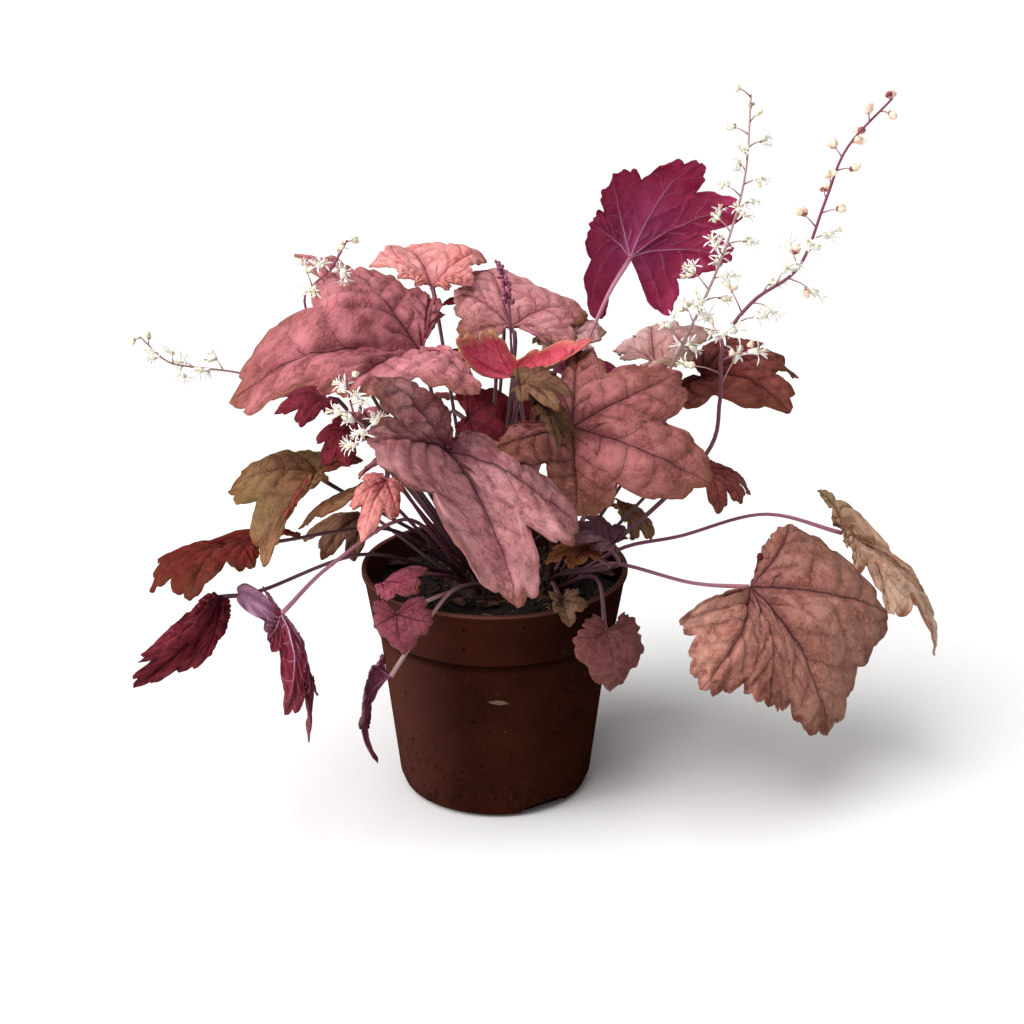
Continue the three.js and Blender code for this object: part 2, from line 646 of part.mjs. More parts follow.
function makeSpray(spray) {
  const passed = spray.stem.map(vector);
  const points = [...stalkStart(spray, passed[0]), ...passed];
  const path = smoothCurve(points);
  const { stemRadius, stemSides, stemSteps } = SPRAY;
  const knots = path.getSpacedPoints(stemSteps);
  const lift = THREE.MathUtils.degToRad(BRANCH.lift);
  let fused = solid(tube(points, stemRadius, stemSides, stemSteps));
  for (let i = 0; i < spray.branches; i += 1) {
    const share = i / (spray.branches - 1);
    const place = THREE.MathUtils.lerp(spray.bloom, BRANCH.last, share);
    const knot = Math.floor(place * stemSteps);
    const start = knots[knot].clone().lerp(knots[knot + 1], place * stemSteps - knot);
    const along = path.getTangentAt(place);
    const side = polar(1, spray.spin + BRANCH.goldenTurn * i);
    const level = new THREE.Vector3(side.x, side.y, 0);
    const out = level.addScaledVector(along, -level.dot(along)).normalize();
    const way = out.multiplyScalar(Math.cos(lift)).addScaledVector(along, Math.sin(lift));
    const length = THREE.MathUtils.lerp(spray.branch[0], spray.branch[1], share);
    fused = fused.add(stalkedHead(start, way, length, share < spray.open));
  }
  return geometryOf(fused.simplify(FINEST));
}

// ---------------------------------------------------------------- pot, soil and rootstock

// Lathe profiles run up the Y axis; the part stands on +Z.
function turned(profile, sides) {
  const points = profile.map(([x, y]) => new THREE.Vector2(x, y));
  return new THREE.LatheGeometry(points, sides).rotateX(Math.PI / 2);
}

function potProfile() {
  const { height, rimRadius, wall, lipDepth, lipWidth, collarFootRadius } = POT;
  const { baseRadius, baseRounding, baseBevel, bevel } = POT;
  const shoulder = height - POT.collarDepth;
  const bodyTop = collarFootRadius - POT.shoulderStep;
  const outside = [
    [0, 0], [baseRadius - baseRounding, 0], [baseRadius - baseBevel, baseBevel], [baseRadius, baseRounding],
    [bodyTop, shoulder - bevel], [collarFootRadius, shoulder],
    [rimRadius - lipWidth, height - lipDepth], [rimRadius, height - lipDepth], [rimRadius, height],
  ];
  const inside = [
    [rimRadius - lipWidth - wall, height], [collarFootRadius - wall, shoulder + wall],
    [bodyTop - wall, shoulder - bevel + wall], [baseRadius - wall, baseRounding],
    [baseRadius - baseRounding, wall], [0, wall],
  ];
  return [...outside, ...inside];
}

// The drain holes lie in a ring in the floor, and two low arches open the foot of the wall.
function makePot() {
  let pot = solid(turned(potProfile(), POT.sides));
  for (let i = 0; i < DRAIN.holes; i += 1) {
    const { x, y } = polar(DRAIN.circle, (360 * i) / DRAIN.holes + DRAIN.firstHole);
    const { holeRadius, holeSides } = DRAIN;
    const hole = new THREE.CylinderGeometry(holeRadius, holeRadius, 4 * POT.wall, holeSides);
    hole.rotateX(Math.PI / 2).translate(x, y, 0);
    pot = pot.subtract(solid(hole));
  }
  for (const turn of DRAIN.archTurns) {
    const half = DRAIN.archWidth / 2;
    const arch = new THREE.CylinderGeometry(half, half, 2 * DRAIN.archReach, DRAIN.archSides);
    arch.rotateZ(Math.PI / 2).scale(1, 1, DRAIN.archHeight / half);
    arch.translate(POT.baseRadius, 0, 0).rotateZ(THREE.MathUtils.degToRad(turn));
    pot = pot.subtract(solid(arch));
  }
  return geometryOf(pot);
}

function rootstock(grow) {
  return solid(dome('main', grow)).add(solid(dome('side', grow)));
}

// Two crossing swells, a wide one and a fine one.
function soilHeight(x, y) {
  const wide = Math.sin(0.31 * x + 0.9) * Math.cos(0.27 * y - 0.4);
  const fine = Math.sin(0.83 * x + 0.5 * y) * Math.cos(0.61 * y - 0.7 * x);
  return SOIL.top + SOIL.lump * (0.6 * wide + 0.4 * fine);
}

// The soil fills the pot from wall to wall, and the rootstock sits in a hollow in it.
function makeSoil() {
  const { top, gap, moundRings, sides } = SOIL;
  const { height, wall, collarDepth, collarFootRadius, baseRadius, baseRounding } = POT;
  const shoulder = height - collarDepth;
  const room = wall + gap;
  const collarSpread = POT.rimRadius - POT.lipWidth - collarFootRadius;
  const collarSlope = collarSpread / (collarDepth - POT.lipDepth);
  const topRadius = collarFootRadius - room + collarSlope * (top - shoulder) - gap;
  const side = [
    [0, room], [baseRadius - baseRounding - gap, room], [baseRadius - room, baseRounding + gap],
    [collarFootRadius - POT.shoulderStep - room, shoulder],
    [collarFootRadius - 2 * room, shoulder + 2 * wall], [topRadius, top],
  ];
  const surface = [...moundRings, 0].map((share) => [share * topRadius, top]);
  const ground = turned([...side, ...surface], sides);
  const place = ground.attributes.position;
  for (let i = 0; i < place.count; i += 1) {
    if (place.getZ(i) > top - 1) {
      place.setZ(i, soilHeight(place.getX(i), place.getY(i)));
    }
  }
  return geometryOf(solid(ground).subtract(rootstock(gap)));
}

function makeRootstock() {
  return geometryOf(rootstock(0));
}

// ---------------------------------------------------------------- assembly

const plant = new THREE.Group();
plant.name = 'heuchera';

function addMesh(name, geometry, { color, roughness }) {
  const material = new THREE.MeshStandardMaterial({ color, roughness, metalness: 0 });
  const mesh = new THREE.Mesh(geometry, material);
  mesh.name = name;
  plant.add(mesh);
}

[...LEAVES, ...backLeaves()].forEach((row, i) => {
  const leaf = {
    ...row, joint: vector(row.at), normal: upperNormal(row), curve: lobeCurve(row),
    phase: i * RELIEF.phaseStep,
  };
  addMesh(leaf.name, makeLeaf(leaf), { color: TONES[leaf.tone], roughness: FINISH.leafRoughness });
});

SPRAYS.forEach((spray) => addMesh(spray.name, makeSpray(spray), FINISH.spray));
addMesh('pot', makePot(), FINISH.pot);
addMesh('soil', makeSoil(), FINISH.soil);
addMesh('rootstock', makeRootstock(), FINISH.rootstock);

export default plant;
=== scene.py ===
# %% [markdown]
# # A potted heuchera
#
# Heuchera, or coral bells, is a low woodland plant that garden centres sell in round plastic pots.
# Its lobed leaves rise on thin stalks from a short woody rootstock, and loose sprays of tiny white
# bells stand above them. The solids of the plant come first, as a frame, and every piece made here
# is a finer skin round one of those solids: the same leaf, with its veins, folds and colours.

import math

import bmesh
import bpy
import numpy as np
from mathutils import Matrix, Vector, noise


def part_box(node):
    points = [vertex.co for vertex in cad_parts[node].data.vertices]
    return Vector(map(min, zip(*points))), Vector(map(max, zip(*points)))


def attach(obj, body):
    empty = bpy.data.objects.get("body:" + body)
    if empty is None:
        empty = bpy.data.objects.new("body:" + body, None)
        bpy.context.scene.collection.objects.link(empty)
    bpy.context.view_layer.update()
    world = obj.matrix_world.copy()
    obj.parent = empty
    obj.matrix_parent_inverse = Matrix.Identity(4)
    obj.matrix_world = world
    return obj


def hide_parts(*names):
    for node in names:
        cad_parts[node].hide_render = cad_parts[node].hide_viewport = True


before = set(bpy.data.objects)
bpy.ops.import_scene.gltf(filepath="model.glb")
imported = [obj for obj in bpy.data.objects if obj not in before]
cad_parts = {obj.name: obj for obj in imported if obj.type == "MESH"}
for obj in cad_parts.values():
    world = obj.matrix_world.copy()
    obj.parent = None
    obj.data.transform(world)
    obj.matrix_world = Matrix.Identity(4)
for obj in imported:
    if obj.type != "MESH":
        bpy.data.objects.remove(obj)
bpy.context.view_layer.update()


# %% [markdown]
# ## Camera, floor and light
#
# The plant is seen from a standing person's height, so the camera looks about 20 degrees down.
# Leaves look best in the light of an overcast sky: a pale sky all round, one very soft sun from
# the upper left, and a gentle fill lamp on that side, so that the folds show and nothing burns out.

# %% Camera
CAMERA_AT = (0, -0.8345, 0.4521)
CAMERA_PITCH = 20.38
CAMERA_TURN = 0.58
CAMERA_LENS = 64.72
SENSOR_WIDTH = 36

camera_data = bpy.data.cameras.new("camera")
camera_data.lens = CAMERA_LENS
camera_data.sensor_width = SENSOR_WIDTH
camera = bpy.data.objects.new("camera", camera_data)
camera.location = CAMERA_AT
camera.rotation_euler = (math.radians(90 - CAMERA_PITCH), 0, math.radians(-CAMERA_TURN))
bpy.context.collection.objects.link(camera)
bpy.context.scene.camera = camera
print("camera", round(Vector(CAMERA_AT).length, 3), "m from the pot")

# %% Floor and soft light
FLOOR_SIZE = 16
SKY = (0.95, 0.97, 1)
SKY_STRENGTH = 0.3
DAYLIGHT = dict(strength=3.4, spread=58, toward=(0.45, 0.35, -1))
FILL = dict(at=(-1.5, -0.6, 0.5), size=0.9, power=18)


def add_object(name, mesh_or_light):
    thing = bpy.data.objects.new(name, mesh_or_light)
    bpy.context.collection.objects.link(thing)
    return thing


def new_mesh(name, bm, materials=()):
    mesh = bpy.data.meshes.new(name)
    bm.to_mesh(mesh)
    bm.free()
    for material in materials:
        mesh.materials.append(material)
    return add_object(name, mesh)


def pointing(way):
    """The turn that makes a lamp shine along a direction."""
    return Vector(way).to_track_quat("-Z", "Y").to_euler()


daylight = bpy.data.lights.new("daylight", "SUN")
daylight.energy = DAYLIGHT["strength"]
daylight.angle = math.radians(DAYLIGHT["spread"])
add_object("daylight", daylight).rotation_euler = pointing(DAYLIGHT["toward"])
fill = bpy.data.lights.new("fill", "AREA")
fill.energy = FILL["power"]
fill.size = FILL["size"]
lamp = add_object("fill", fill)
lamp.location = FILL["at"]
lamp.rotation_euler = pointing(-Vector(FILL["at"]))

world = bpy.data.worlds.new("overcast sky")
world.use_nodes = True
sky = world.node_tree.nodes["Background"].inputs
sky["Color"].default_value = (*SKY, 1)
sky["Strength"].default_value = SKY_STRENGTH
bpy.context.scene.world = world
bpy.context.scene.view_settings.view_transform = "Standard"
print("daylight comes down at", DAYLIGHT["toward"])

# %% [markdown]
# ## Shader maths as expressions
#
# A leaf's colour is arithmetic: a vein is a dark line where a distance is small. Such sums are
# written as plain Python here. A Value wraps one socket, and each operator adds one Math node, so
# that `1 - vein` works in both orders. Every other node comes from the single method `node`.

# %% A value
class Value:
    """A number that changes over a surface."""

    def __init__(self, finish, socket):
        self.finish = finish
        self.socket = socket

    def maths(self, operation, *terms):
        node = self.finish.node("ShaderNodeMath", {"operation": operation}, dict(enumerate(terms)))
        return Value(self.finish, node.outputs[0])

    def __add__(self, other): return self.maths("ADD", self, other)
    def __radd__(self, other): return self.maths("ADD", other, self)
    def __sub__(self, other): return self.maths("SUBTRACT", self, other)
    def __rsub__(self, other): return self.maths("SUBTRACT", other, self)
    def __mul__(self, other): return self.maths("MULTIPLY", self, other)
    def __rmul__(self, other): return self.maths("MULTIPLY", other, self)
    def __truediv__(self, other): return self.maths("DIVIDE", self, other)
    def __rtruediv__(self, other): return self.maths("DIVIDE", other, self)
    def __abs__(self): return self.maths("ABSOLUTE", self)
    def cosine(self): return self.maths("COSINE", self)
    def sine(self): return self.maths("SINE", self)
    def fraction(self): return self.maths("FRACT", self)
    def nearest_whole(self): return self.maths("ROUND", self)
    def at_least(self, other): return self.maths("MAXIMUM", self, other)
    def at_most(self, other): return self.maths("MINIMUM", self, other)

    def ramp(self, low, high):
        """0 below low, 1 above high, smooth between; low may be the larger of the two."""
        settings = {"interpolation_type": "SMOOTHSTEP", "clamp": True}
        if low < high:
            sockets = {"Value": self, "From Min": low, "From Max": high}
        else:
            sockets = {"Value": self, "From Min": high, "From Max": low, "To Min": 1, "To Max": 0}
        return Value(self.finish, self.finish.node("ShaderNodeMapRange", settings, sockets).outputs["Result"])


print("a value knows", [name for name in vars(Value) if not name.startswith("_")])

# %% A finish
# Places of the Mix node's sockets for colours: it has a set of sockets for each kind of data.
MIX_FACTOR, MIX_A, MIX_B, MIX_RESULT = 0, 6, 7, 2


def paint(code):
    """A colour as a screen shows it, such as 'b8605c', as the linear colour that a shader needs."""
    levels = [int(code[i:i + 2], 16) / 255 for i in (0, 2, 4)]
    return (*[c / 12.92 if c <= 0.04045 else ((c + 0.055) / 1.055) ** 2.4 for c in levels], 1)


class Finish:
    """One material, with one Principled shader."""

    def __init__(self, name):
        self.material = bpy.data.materials.new(name)
        self.material.use_nodes = True
        self.tree = self.material.node_tree
        self.shader = self.tree.nodes["Principled BSDF"]

    def node(self, kind, settings=None, sockets=None):
        node = self.tree.nodes.new(kind)
        for key, value in (settings or {}).items():
            setattr(node, key, value)
        self.plug(node, sockets or {})
        return node

    def plug(self, node, sockets):
        for key, value in sockets.items():
            if isinstance(value, Value):
                value = value.socket
            if isinstance(value, bpy.types.NodeSocket):
                self.tree.links.new(value, node.inputs[key])
            else:
                node.inputs[key].default_value = value

    def value(self, node, output=0):
        return Value(self, node.outputs[output])

    def mix(self, factor, colour_a, colour_b, blend="MIX"):
        settings = {"data_type": "RGBA", "blend_type": blend, "clamp_factor": True}
        sockets = {MIX_FACTOR: factor, MIX_A: colour_a, MIX_B: colour_b}
        return self.node("ShaderNodeMix", settings, sockets).outputs[MIX_RESULT]

    def place(self):
        return self.node("ShaderNodeTexCoord").outputs["Object"]

    def noise(self, vector, scale, detail=3, roughness=0.55, distortion=0):
        sockets = {"Vector": vector, "Scale": scale, "Detail": detail, "Roughness": roughness,
                   "Distortion": distortion}
        return self.value(self.node("ShaderNodeTexNoise", None, sockets))

    def cells(self, vector, scale, feature="F1"):
        """The distance to the nearest of many scattered points, so each point is a small dot."""
        sockets = {"Vector": vector, "Scale": scale}
        return self.value(self.node("ShaderNodeTexVoronoi", {"feature": feature}, sockets), "Distance")

    def axes(self, vector):
        """The x, y and z of a vector, as three values."""
        node = self.node("ShaderNodeSeparateXYZ", None, {0: vector})
        return [self.value(node, axis) for axis in "XYZ"]

    def own_uv(self):
        return self.node("ShaderNodeUVMap").outputs["UV"]

    def coats(self, colour, *coats):
        """The colour under more coats; each has an amount and a colour code."""
        for amount, code in coats:
            colour = self.mix(amount, colour, paint(code))
        return colour

    def bump(self, height, depth, strength):
        sockets = {"Height": height, "Distance": depth, "Strength": strength}
        return self.node("ShaderNodeBump", None, sockets).outputs["Normal"]

    def show(self, **sockets):
        self.plug(self.shader, {key.replace("_", " "): value for key, value in sockets.items()})
        return self.material


print("mid grey on screen is", round(paint("808080")[0], 3), "in a shader")

# %% The floor
FLOOR_SPECKLE = 900

floor_finish = Finish("pale floor")
floor_grain = floor_finish.noise(floor_finish.place(), FLOOR_SPECKLE)
floor_paper = floor_finish.mix(floor_grain, paint("f1f0ee"), paint("f6f5f3"))
floor_bm = bmesh.new()
bmesh.ops.create_grid(floor_bm, x_segments=1, y_segments=1, size=FLOOR_SIZE / 2)
floor = new_mesh("floor", floor_bm, [floor_finish.show(Base_Color=floor_paper, Roughness=0.8)])
print("floor", FLOOR_SIZE, "m across")

# %% [markdown]
# ## The shape of a leaf
#
# A heuchera leaf is palmate: its stalk meets the blade near one edge, a main vein runs from there
# into each lobe, and an open notch lies behind. So a blade is best drawn in polar terms, with an
# angle round the stalk's end and a share of the way to the margin. Each row gives the tips of the
# lobes as steps from the stalk's end, and a smooth curve joins their directions and lengths.

# %% The leaves, one row each
# After a leaf's name and tone come places in millimetres: where the stalk meets the blade, and
# from there the steps to the tips of the middle, left and right lobe. Rows of larger leaves go on
# with the low lobes and with the two corners beside the notch. via: points that the stalk passes.
# leave: the stalk's turn and lift at its crown, in degrees.
COLUMNS = ("at", "mid", "left", "right", "low_left", "low_right", "end_left", "end_right")


def metres(millimetres):
    return tuple(length / 1000 for length in millimetres)


def leaf_row(name, tone, *places, via=(), **habit):
    row = dict(zip(COLUMNS, map(metres, places)), name=f"leaf_{name}", tone=tone, **habit)
    return dict(row, via=[metres(point) for point in via]) if via else row


LEAVES = [
    leaf_row("front", "dusk", (-21, -48, 189), (31, -44, -58), (58, -34, -24), (-34, -34, 15),
             (7, 18, 1), (-31, -28, 43), (5, 14, 1), (-1, 8, 14), teeth=5),
    leaf_row("right_large", "rose", (35, -38, 197), (63, -10, -24), (50, 10, 21), (2, -24, -34),
             (3, 22, 31), (-34, -20, -3), crown="side", teeth=5),
    leaf_row("left_large", "rose", (-33, -18, 226), (-86, -22, -16), (-33, -44, -7), (-33, 26, 32),
             (26, -38, -8), (4, 38, 18), (16, -16, 1), (9, 20, 11), teeth=5, sinus=0.24,
             via=[(-22, 4, 168)]),
    leaf_row("top_back", "rose", (-30, 38, 244), (-20, 54, 6), (-31, 14, 8), (27, 24, 9),
             (-16, -2, 5), (20, -6, 3), (-8, -10, 1), (8, -8, -1), teeth=2),
    leaf_row("top_left", "crimson", (-70, 52, 234), (-30, 20, 18), (-16, -4, 4), (-11, 38, 10),
             (-6, -8, 0), (14, 20, -2)),
    leaf_row("centre_back", "dusk", (8, 22, 228), (-14, 44, 18), (-29, 24, 9), (37, 26, 1),
             (-25, 0, -8), (30, -8, -9), sinus=0.2),
    leaf_row("cup", "crimson", (10, -22, 217), (2, 8, 6), (-11, 4, 21), (34, -2, 19), (-27, -4, 19),
             (14, -14, 9), (-21, -12, 7), (4, -10, 2), sinus=0.15, arch=-0.2, via=[(14, -10, 178)]),
    leaf_row("crimson", "crimson", (65, 28, 261), (28, -16, 49), (54, -4, 23), (-11, -18, 42),
             (49, 4, -2), (-20, -10, 18), (14, 6, -37), (-13, 8, -48), teeth=5, sinus=0.26,
             via=[(48, 14, 232)]),
    leaf_row("behind_cup", "olive", (32, 22, 219), (10, 38, 8), (-9, 28, 6), (23, 18, 1),
             leave=(6, -4)),
    leaf_row("right_back", "olive", (78, 22, 209), (34, 18, 11), (4, 50, 5), (14, -14, 4),
             crown="side", leave=(8, 0)),
    leaf_row("right_red", "crimson", (103, 42, 197), (51, 16, -3), (31, 50, 4), (41, -22, -10),
             (3, 38, 3), (-15, -16, -11), crown="side"),
    leaf_row("right_small", "crimson", (100, 10, 161), (20, -8, -16), (27, 12, -18), (7, -22, -16),
             crown="side"),
    leaf_row("far_right", "rose", (121, -30, 115), (35, -18, -70), (69, 22, -23), (4, -38, -45),
             (22, 36, 19), (-30, -50, -30), (10, 30, 9), (-39, -26, 0), crown="side", teeth=5,
             sinus=0.14, leave=(-12, -2), via=[(56, -17, 122), (93, -27, 116)]),
    leaf_row("dry_right", "tan", (175, 28, 120), (53, -6, -65), (38, 2, -32), (18, -34, -29),
             (-12, 12, 18), (2, -24, -11), (-3, 6, 9), (0, -10, -3), crown="side",
             via=[(63, -6, 126), (91, 6, 127), (134, 20, 133)]),
    leaf_row("olive_left", "olive", (-81, -30, 172), (-40, -18, 0), (-21, -50, -24), (-17, 16, 5),
             (-6, -22, -3), (19, 14, 2), sinus=0.22, leave=(0, 10)),
    leaf_row("coral", "crimson", (-48, -62, 180), (-10, -22, -21), (6, -16, -11), (-16, -10, -8),
             (8, -4, -2), (-10, 2, 2), (4, 2, 1), (-4, 4, 2), leave=(10, -2)),
    leaf_row("narrow", "tan", (-60, -33, 163), (-30, -10, -14), (-18, -14, -7), (-18, 6, -7),
             leave=(12, -6)),
    leaf_row("olive_low", "olive", (-65, 16, 134), (-19, -24, -13), (-3, -24, -14), (-29, -10, -8),
             (8, -12, -4), (-8, 2, 0), (5, -4, 0), (-4, 2, 1), leave=(0, -8)),
    leaf_row("far_left", "crimson", (-118, -40, 139), (-39, -22, -11), (-16, -50, -3), (-35, 0, -6),
             (11, -34, 5), (28, 4, 6), sinus=0.18, via=[(-52, -14, 139), (-97, -31, 140)]),
    leaf_row("far_left_low", "crimson", (-128, -40, 115), (-38, -32, -31), (-9, -26, -24),
             (-32, -38, -12), (2, -10, -13), (-18, -10, -7), (2, 2, -4), (-8, 4, -1), sinus=0.13,
             via=[(-62, -32, 133), (-109, -42, 119)]),
    leaf_row("magenta", "crimson", (-98, -60, 115), (13, -24, -53), (4, -30, -36), (13, -8, -35),
             (-6, -6, -10), (2, 2, -4), (-26, 2, 20), (-15, 10, 14), arch=-0.14,
             via=[(-42, -20, 146), (-76, -46, 133)]),
    leaf_row("pot_left_curl", "plum", (-48, -76, 91), (-8, -6, -41), (-12, -8, -19), (-10, 4, -24),
             leave=(14, 0), via=[(-18, -50, 123), (-30, -66, 115)]),
    leaf_row("pot_left_in", "rose", (-52, -42, 122), (21, 6, 5), (14, 10, -1), (17, -6, -2),
             sinus=0.16, via=[(-36, -28, 121)]),
    leaf_row("pot_left_out", "plum", (-44, -70, 119), (3, -4, -18), (17, -4, -2), (-11, 4, -8),
             sinus=0.16, via=[(-25, -58, 123)]),
    leaf_row("pot_right_out", "rose", (51, -62, 107), (2, -2, -30), (18, 12, -15), (-16, -12, 1),
             (14, 16, -1), (-10, -8, 9), crown="side", sinus=0.1, via=[(47, -48, 127)]),
    leaf_row("dry_rim", "tan", (30, -66, 124), (4, -6, -11), (12, -4, -1), (-4, -4, -3),
             crown="side", leave=(0, 5)),
    leaf_row("olive_back", "olive", (62, 36, 132), (19, 8, -22), (12, 18, -10), (7, -6, -17),
             (4, 6, -2), (2, -6, -6), crown="side"),
    leaf_row("purple_mid", "plum", (54, -40, 140), (-25, -10, 12), (-24, -26, 12), (-9, 10, 12),
             crown="side", leave=(10, 8)),
    leaf_row("amber_mid", "tan", (44, -46, 139), (-21, -10, -1), (-10, -16, -1), (-17, 6, 0),
             crown="side", leave=(-2, 6)),
    leaf_row("red_mid", "crimson", (-12, -16, 194), (19, -6, -9), (12, 10, 5), (6, -14, -16),
             leave=(-14, -6)),
    leaf_row("left_red_a", "crimson", (-80, 0, 199), (-23, -6, -6), (-10, -16, -9), (-21, 20, -4),
             leave=(-6, -6)),
    leaf_row("left_red_b", "crimson", (-66, -25, 192), (-12, -14, -13), (1, -24, -10), (-17, 4, -6),
             leave=(16, 6)),
    leaf_row("dry_mid", "tan", (18, -54, 214), (17, -10, -21), (19, -4, -13), (10, -14, -16),
             via=[(15, -28, 179)]),
    leaf_row("olive_mid", "olive", (12, -46, 218), (23, -18, 2), (15, 8, 6), (16, -30, -1),
             via=[(3, -25, 170)]),
    leaf_row("dark_mid", "plum", (-8, 2, 219), (-17, -6, -1), (-6, -16, -3), (-12, 12, -1)),
    leaf_row("tip_mid", "crimson", (-4, 50, 230), (-22, 6, 1), (-12, 0, -1), (-13, 20, 0)),
    leaf_row("young", "plum", (-69, -6, 240), (-7, 2, 10), (-8, -4, 4), (-2, 8, 7)),
    leaf_row("heart", "crimson", (13, 26, 165), (-32, -8, 35), (-25, -12, 4), (8, 6, 36),
             (-9, -10, -10), (21, 4, 15), teeth=2),
]
# turn in degrees, then height, distance and length, then droop of the small leaves at the back
BACK_LEAVES = [
    (40, (143, 74, 44), 24), (74, (163, 70, 46), 32), (118, (145, 72, 44), 22),
    (130, (175, 70, 44), 30), (52, (197, 58, 38), 10), (92, (129, 96, 42), 44),
]
BACK_TONES = ["rose", "crimson", "dusk"]
BACK_SIDE_LOBE = 0.45
BACK_SIDE_SPREAD = 0.72
print("leaves", len(LEAVES) + len(BACK_LEAVES))

# %% Directions and curves
LOBE_STEP = 55
LEAF_END = 165
LOW_LOBE = dict(lobe=0.86, mid=-0.6)
NOTCH_END = dict(low=0.5, mid=-0.22)
WAVE_PHASE = 1.7


def unit(vector):
    vector = np.asarray(vector, float)
    return vector / np.linalg.norm(vector, axis=-1, keepdims=True)


def smooth_curve(points, places):
    """Points of a smooth curve that passes the given ones; places run from 0 to 1."""
    points = np.array(points, float).reshape(len(points), -1)
    before = 2 * points[0] - points[1]
    after = 2 * points[-1] - points[-2]
    knots = np.vstack([before, points, after])
    steps = np.clip(places, 0, 1) * (len(points) - 1)
    first = np.minimum(np.floor(steps).astype(int), len(points) - 2)
    t = (steps - first)[..., None]
    a, b, c, d = (knots[first + i] for i in range(4))
    return (2 * b + (c - a) * t + (2 * a - 5 * b + 4 * c - d) * t**2 + (3 * b - a - 3 * c + d) * t**3) / 2


def back_leaf(number, turn, sizes, droop):
    height, distance, length = metres(sizes)
    out = np.array([math.cos(math.radians(turn)), math.sin(math.radians(turn)), 0])
    across = np.array([-out[1], out[0], 0]) * BACK_SIDE_SPREAD * length
    mid = (out - [0, 0, math.sin(math.radians(droop))]) * length
    forward = mid * BACK_SIDE_LOBE
    at = (*out[:2] * distance, height)
    return dict(name=f"leaf_back_{number}", tone=BACK_TONES[(number - 1) % len(BACK_TONES)], at=at,
                mid=mid, left=forward + across, right=forward - across)


def side_lobes(row, side):
    mid, lobe = np.array(row["mid"]), np.array(row[side])
    low = np.array(row.get(f"low_{side}", lobe * LOW_LOBE["lobe"] + mid * LOW_LOBE["mid"]))
    end = np.array(row.get(f"end_{side}", low * NOTCH_END["low"] + mid * NOTCH_END["mid"]))
    return [lobe, low, end]


def finished_row(row, number):
    """The row with its upper normal, its lobe curves and the phase of its waves."""
    mid = np.array(row["mid"])
    lobes = [*reversed(side_lobes(row, "right")), mid, *side_lobes(row, "left")]
    to_left, to_right = unit(np.cross(mid, row["left"])), unit(np.cross(row["right"], mid))
    return dict(row, at=np.array(row["at"]), normal=unit(to_left + to_right),
                lengths=[np.linalg.norm(lobe) for lobe in lobes], ways=[unit(lobe) for lobe in lobes],
                size=float(np.linalg.norm(mid)), phase=number * WAVE_PHASE)


print("lobes every", LOBE_STEP, "degrees, and the notch from", LEAF_END, "degrees on")

# %% Outline, arch and waves
SINUS = 0.35
SINUS_GROWTH = 1.5
TEETH = 3
TOOTH_DEPTH = 0.2
TOOTH_GROWTH = 6
CORNER = 0.3
CORNER_WIDTH = 15
ARCH = 0.16
WAVE = 0.04
WAVES = 6.5
FINE_TEETH = 3
FINE_TOOTH_DEPTH = 0.012


def reach(leaf, angle, share):
    """How far the outline reaches at an angle, as a share of the curve through the lobe tips."""
    across = 2 * (angle / LOBE_STEP - np.round(angle / LOBE_STEP))
    corner = CORNER * (np.maximum(0, np.abs(angle) - LEAF_END + CORNER_WIDTH) / CORNER_WIDTH) ** 2
    sinus = leaf.get("sinus", SINUS) * across**2 * share**SINUS_GROWTH
    teeth = leaf.get("teeth", TEETH)
    between = 1 - np.abs(np.cos(np.pi * teeth * across / 2))
    notch = TOOTH_DEPTH / teeth * between * share**TOOTH_GROWTH
    fine = 1 - np.abs(np.cos(np.pi * teeth * FINE_TEETH * across / 2))
    return share * (1 - corner - sinus - notch - FINE_TOOTH_DEPTH * fine * share ** (2 * TOOTH_GROWTH))


def sheet_points(leaf, angle, share):
    """The smooth middle of a blade: lobes, arch from the stalk outwards, and a wavy margin."""
    place = (angle + LEAF_END) / (2 * LEAF_END)
    length = smooth_curve(leaf["lengths"], place)[..., 0]
    way = smooth_curve(leaf["ways"], place)
    radial = way * (length / np.sqrt(np.linalg.norm(way, axis=-1)))[..., None]
    out = reach(leaf, angle, share)
    arch = leaf.get("arch", ARCH) * length * 4 * out * (1 - out)
    wave = WAVE * length * out**3 * np.sin(WAVES * np.radians(angle) + leaf["phase"])
    return radial * out[..., None] + leaf["normal"] * (arch + wave)[..., None] + leaf["at"]


print("a margin waves", round(WAVES * LEAF_END / 180, 1), "times, by", WAVE, "of its reach")

# %% [markdown]
# ## Quilting
#
# Between its veins a heuchera blade puffs up like a quilt, because it keeps growing where the
# veins already hold it. The same distances drive the mesh here and the dark vein lines in the
# finish later, so paint and relief always agree. Side veins leave a main vein at about 50 degrees.

# %% Vein distances and relief
# CRINKLES: how many dents across a blade, and how deep; RUFFLES: waves along the margin, likewise.
SIDE_VEINS = 5.2
SIDE_SLOPE = 0.8
SIDE_STAGGER = 0.42
MAIN_VEIN_HALF = 0.035
SIDE_VEIN_HALF = 0.03
QUILT = 0.032
QUILT_SHARE_OF_SIDE = 0.6
RUFFLE = 0.014
RUFFLES = [(19, 1), (43, 0.6)]
CALM_LEAVES = {"leaf_top_back": 0.3, "leaf_far_right": 0.4, "leaf_far_left_low": 0.3, "leaf_magenta": 0.4}
CRINKLES = [(2.6, 0.035), (8, 0.016), (19, 0.006)]
HEART_SLOPE = 5
PUFF_END = 8
RUFFLE_GROWTH = 5
OUTER_LOBE = 2


